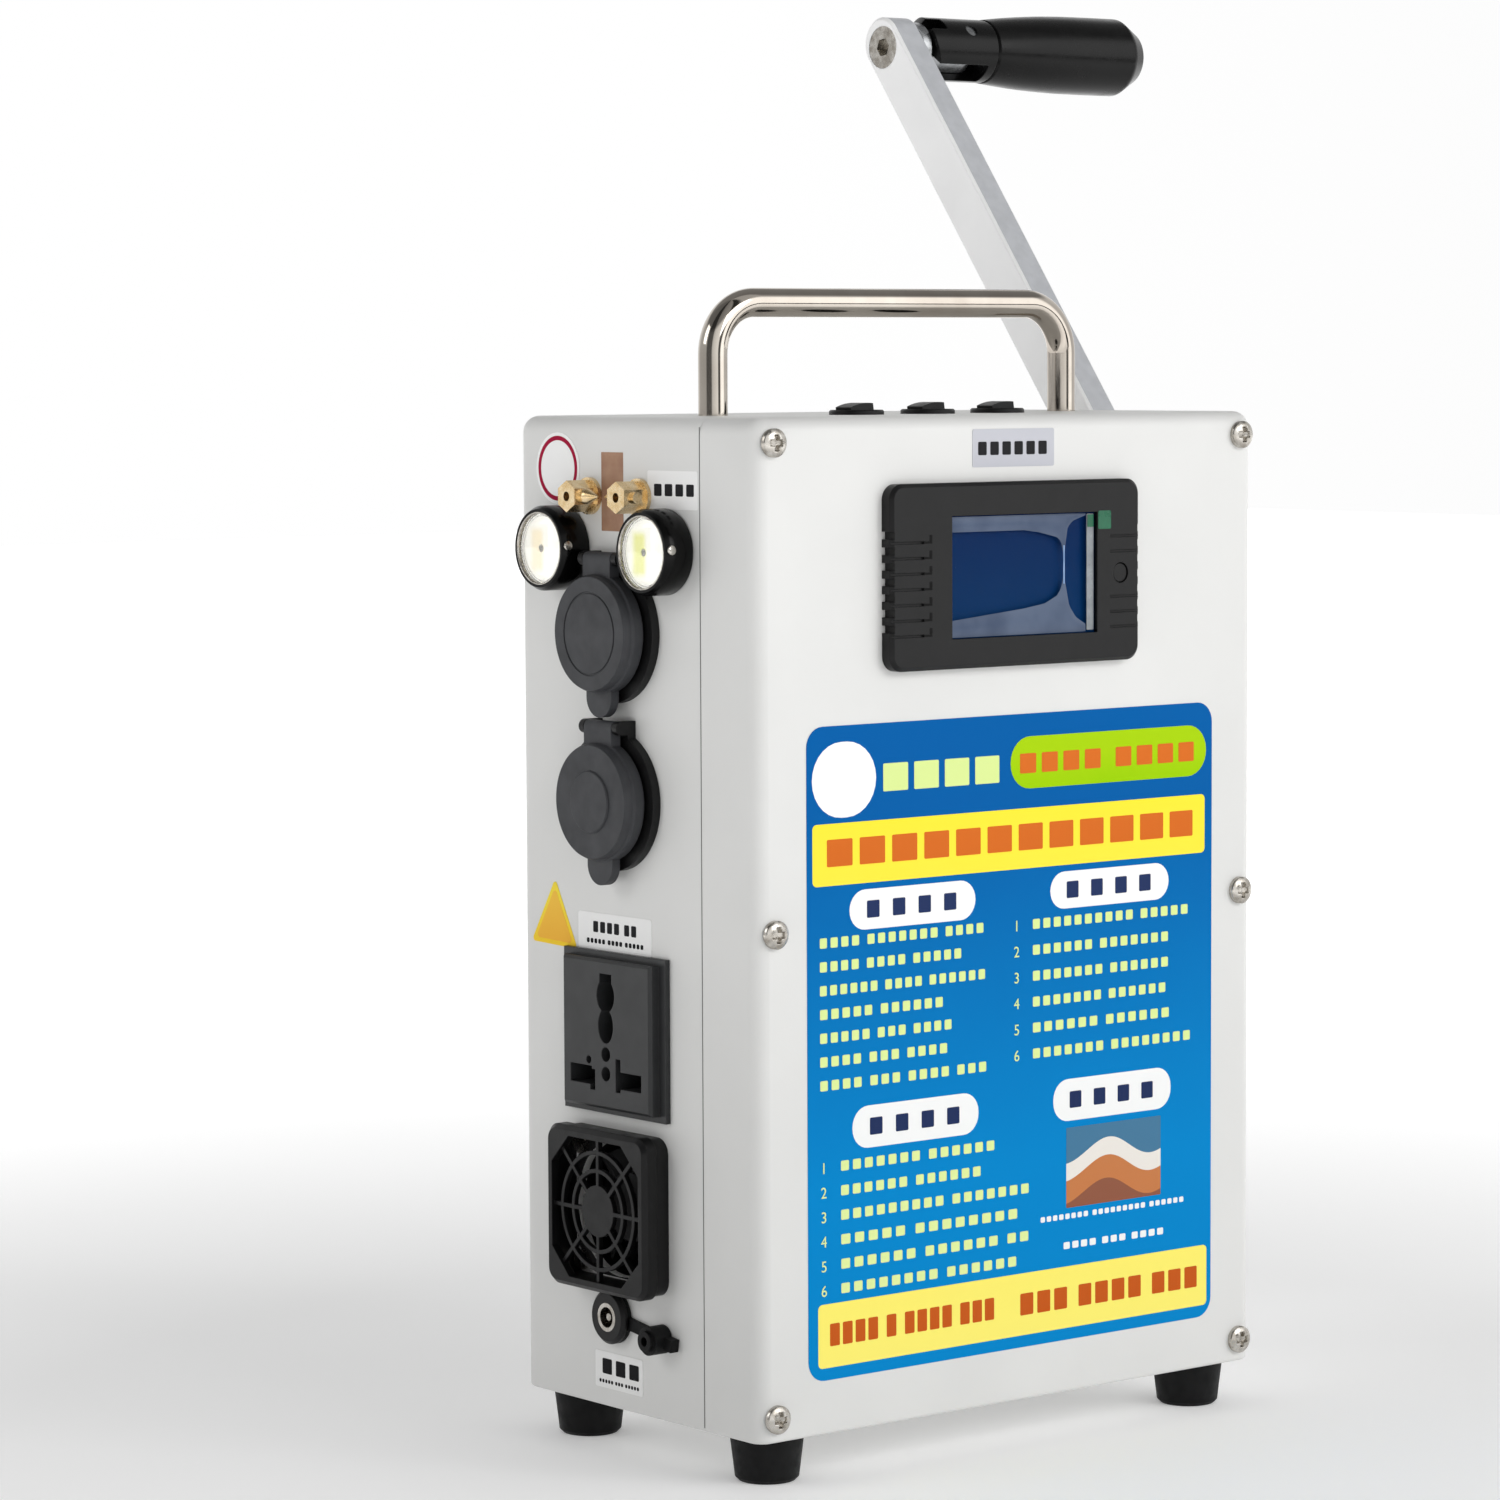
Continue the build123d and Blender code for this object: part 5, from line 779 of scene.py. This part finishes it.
def make_front_label():
    """The blue panel: bands, pills, a disc, a small picture field and plain ruled rows."""
    blue = printed("blue_vinyl_print", "#065ea6", "#0486cb", 70.0, 170.0)
    yellow = printed("yellow_vinyl_print", "#fde93a", "#fff27a", 10.0, 175.0)
    lime = printed("lime_vinyl_print", "#a9d312", "#8fcc00", 167.0, 182.0)
    white = printed("white_vinyl_print", "#fbfbfa", "#f4f5f4", 70.0, 180.0)
    orange = printed("orange_ink", "#d9702a", "#c4581f", 15.0, 182.0)
    navy = printed("navy_ink", "#2c3a63", "#26335a", 70.0, 180.0)
    pale = printed("pale_lime_ink", "#dcef9a", "#e3f2a4", 35.0, 180.0)
    base = FILM
    high = FILM + INK
    top = FILM + 2 * INK

    label("panel_blue", (-73.3, 73.5, 14.6, 188.1), 5.5, STUCK, base, on_front, blue)
    label("panel_band_upper", (-71.4, 70.7, 146.0, 162.4), 1.4, base, high, on_front, yellow)
    label("panel_band_lower", (-70.0, 71.8, 17.9, 35.0), 1.4, base, high, on_front, yellow)
    label("panel_pill_lime", (-1.9, 71.2, 167.7, 181.9), 7.0, base, high, on_front, lime)
    label("panel_disc", (-71.5, -49.5, 163.8, 183.8), 11.0, base, high, on_front, white)
    pills = ((-58.8, -14.6, 133.6, 144.3), (12.6, 56.9, 134.0, 144.2), (-58.0, -13.6, 75.3, 86.6),
             (13.7, 57.8, 75.3, 86.9))
    for number, box in enumerate(pills, start=1):
        label(f"panel_pill_{number}", box, 5.4, base, high, on_front, white)
        x0, x1, z0, z1 = box
        middle = (z0 + z1) / 2
        marks = words(x0 + 6.0, x1 - 5.0, middle, 4.6, (1, 1, 1, 1))
        bars(f"panel_pill_marks_{number}", marks, high, top, on_front, navy)

    bars("panel_marks_upper", words(-66.5, 68.5, 154.6, 7.2, (12,), 0.22), high, top, on_front, orange)
    marks = words(-66.0, -7.0, 26.6, 6.0, (4, 1, 4, 3), 0.24) + words(1.5, 69.5, 26.4, 6.0, (3, 4, 3), 0.24)
    bars("panel_marks_lower", marks, high, top, on_front, orange)
    bars("panel_marks_lime", words(1.5, 68.5, 174.6, 5.4, (4, 4), 0.26), high, top, on_front, orange)
    bars("panel_marks_head", words(-47.0, -3.8, 173.6, 7.4, (4,), 0.2), base, high, on_front, pale)

    left_rows = [131.0 - 6.3 * i for i in range(7)]
    right_rows = [130.6 - 7.1 * i for i in range(6)]
    lower_rows = [71.4 - 6.55 * i for i in range(6)]
    left_ends = ((-10.5, (4, 7, 4)), (-18.5, (4, 4, 5)), (-10.0, (6, 4, 6)), (-25.0, (5, 6)),
                 (-22.0, (5, 3, 4)), (-23.5, (4, 3, 4)), (-9.5, (4, 3, 4, 3)))
    right_ends = ((65.5, (10, 5)), (58.0, (6, 7)), (58.0, (7, 6)), (57.0, (7, 6)), (58.5, (6, 6)),
                  (66.5, (7, 8)))
    lower_ends = ((-6.5, (7, 6)), (-11.5, (6, 6)), (6.0, (9, 7)), (2.0, (5, 8)), (6.0, (6, 6, 2)),
                  (1.5, (8, 6)))
    blocks = ((-69.0, left_rows, left_ends), (6.2, right_rows, right_ends), (-62.0, lower_rows, lower_ends))
    boxes = []
    for start, rows, ends in blocks:
        for z, (end, pattern) in zip(rows, ends):
            boxes += words(start, end, z, 2.7, pattern, 0.34)
    bars("panel_rows", boxes, base, high, on_front, pale)
    numerals("panel_number_right", -0.8, right_rows, 4.2, pale)
    numerals("panel_number_lower", -69.0, lower_rows, 4.2, pale)
    marks = words(9.0, 63.5, 48.9, 1.5, (8, 9, 6)) + words(17.5, 56.0, 40.8, 1.9, (4, 3, 4))
    bars("panel_small_rows", marks, base, high, on_front, white)
    make_picture_field(base, high)


def make_picture_field(low, high):
    """A small printed field of three plain soft waves, one colour over the next."""
    made, tree, shader, place = surface("printed_field", "#b4623a", 0.34, IOR=1.46)
    axes = add(tree, "SeparateXYZ", {"Vector": place})
    wave = add(tree, "TexWave", {"Vector": place}, {"Scale": 9.0, "Distortion": 2.2, "Detail": 0.0})
    bend = add(tree, "Math", {0: wave.outputs["Fac"]}, {1: 6 * MM}, operation="MULTIPLY")
    height = add(tree, "Math", {0: axes.outputs["Z"], 1: bend.outputs[0]}, operation="ADD")
    span = {"From Min": 51.0 * MM, "From Max": 78.0 * MM}
    share = add(tree, "MapRange", {"Value": height.outputs[0]}, span)
    ramp = add(tree, "ValToRGB", {"Fac": share.outputs["Result"]})
    ramp.color_ramp.interpolation = "CONSTANT"
    colours = ((0.0, "#8a4a2a"), (0.26, "#c47436"), (0.5, "#e9e4dc"), (0.68, "#2f6f94"))
    fill_ramp(ramp, [(position, linear(colour)) for position, colour in colours])
    tree.links.new(ramp.outputs["Color"], shader.inputs["Base Color"])
    label("panel_picture", (18.5, 54.0, 51.2, 73.4), 0.3, low, high, on_front, made)


def make_small_labels():
    """Paper and vinyl stickers on the side and over the meter, with plain rules for their words."""
    white = printed("white_paper_label", "#f7f7f6", "#f1f1f0", 10.0, 260.0, 0.45)
    grey = printed("grey_label", "#c3c4cb", "#bcbdc5", 250.0, 268.0, 0.5)
    dark = printed("black_ink", "#2a2a2c", "#232325", 10.0, 260.0, 0.5)
    crimson = printed("crimson_ink", "#a3193c", "#961636", 240.0, 266.0, 0.4)
    amber = printed("amber_vinyl", "#fae04a", "#f5c832", 125.0, 142.0)
    gold = printed("gold_vinyl", "#f9c64e", "#f0b040", 125.0, 142.0)
    high = FILM + INK

    label("meter_label", (-15.4, 14.0, 255.0, 265.2), 0.6, STUCK, FILM, on_front, grey)
    bars("meter_label_marks", words(-13.4, 12.6, 260.0, 3.6, (6,)), FILM, high, on_front, dark)
    label("post_label", (-28.2, -6.7, 244.7, 254.9), 0.6, STUCK, FILM, on_left, white)
    bars("post_label_marks", words(-26.6, -8.2, 249.8, 3.2, (4,)), FILM, high, on_left, dark)
    label("outlet_label", (-7.2, 25.3, 124.9, 135.0), 0.9, STUCK, FILM, on_left, white)
    marks = words(-0.5, 19.5, 131.2, 3.0, (2, 4)) + words(-3.6, 22.0, 127.3, 1.3, (5, 4, 5))
    bars("outlet_label_marks", marks, FILM, high, on_left, dark)
    label("jack_label", (-2.1, 19.0, 5.2, 15.2), 0.5, STUCK, FILM, on_left, white)
    marks = words(-0.4, 17.6, 11.2, 4.2, (3,)) + words(-0.4, 17.6, 7.0, 1.0, (5, 3, 5))
    bars("jack_label_marks", marks, FILM, high, on_left, dark)

    disc_y, disc_z, disc_r = 33.1, 254.9, 9.75
    disc = (disc_y - disc_r, disc_y + disc_r, disc_z - disc_r, disc_z + disc_r)
    label("round_sticker", disc, disc_r, STUCK, FILM, on_left, white)
    make_ring("round_sticker_ring", disc_y, disc_z, 7.6, 8.8, FILM, high, crimson)
    corners = np.array([(45.9, 125.4), (35.8, 142.0), (26.6, 124.8)])
    inner = corners.mean(axis=0) + (corners - corners.mean(axis=0)) * 0.78
    layers = (("base", corners, STUCK, FILM, amber), ("field", inner, FILM, high, gold))
    for name, outline, low, top, finish in layers:
        points = on_left(slab(soft_triangle(outline), low, top))
        grid_piece(f"corner_sticker_{name}", points, finish, "case", smooth=False)


def soft_triangle(corners, radius=0.9, steps=5):
    """Points round a triangle whose corners are small arcs."""
    middle = corners.mean(axis=0)
    reach = np.linalg.norm(corners - middle, axis=1, keepdims=True)
    pulled = middle + (corners - middle) * (1 - radius / reach)
    points = []
    for i in range(3):
        before, here, after = pulled[i - 1], pulled[i], pulled[(i + 1) % 3]
        normals = []
        for a, b in ((before, here), (here, after)):
            way = (b - a) / np.linalg.norm(b - a)
            normal = np.array((way[1], -way[0]))
            normals.append(normal if np.dot(normal, here - middle) > 0 else -normal)
        share = np.linspace(0, 1, steps)[:, None]
        fan = normals[0] * (1 - share) + normals[1] * share
        points.append(here + radius * fan / np.linalg.norm(fan, axis=1, keepdims=True))
    return np.concatenate(points)


def make_ring(name, y, z, inner, outer, low, high, finish, steps=64):
    """A flat ring: the angle round it by the four corners of its section."""
    turn = np.linspace(0, 2 * pi, steps, endpoint=False)[:, None]
    radius = np.array([inner, outer, outer, inner, inner])[None, :]
    level = np.array([high, high, low, low, high])[None, :] * np.ones_like(turn)
    points = np.stack([y + radius * np.cos(turn), z + radius * np.sin(turn), level], axis=-1)
    grid_piece(name, on_left(points), finish, "case", smooth=False)


def make_tape():
    """Brown polyimide tape behind the posts: thin, amber and see-through."""
    made, tree, shader, place = surface("polyimide_tape", "#b08a72", 0.25, IOR=1.3, Alpha=0.8)
    mottled(tree, shader, place, ("#a98068", "#bb9478"), 6.0)
    grain(tree, shader, place, 3.0, 0.03, 0.1)
    label("post_tape", (4.0, 13.6, 238.4, 259.5), 0.2, STUCK, 0.09, on_left, made)


make_camera()
make_studio()
dress_nodes()
make_screw_heads()
make_lamp_trim()
make_seam()
make_fan_seal()
make_rib_slots()
make_screen_film()
make_screen_tabs()
make_front_label()
make_small_labels()
make_tape()
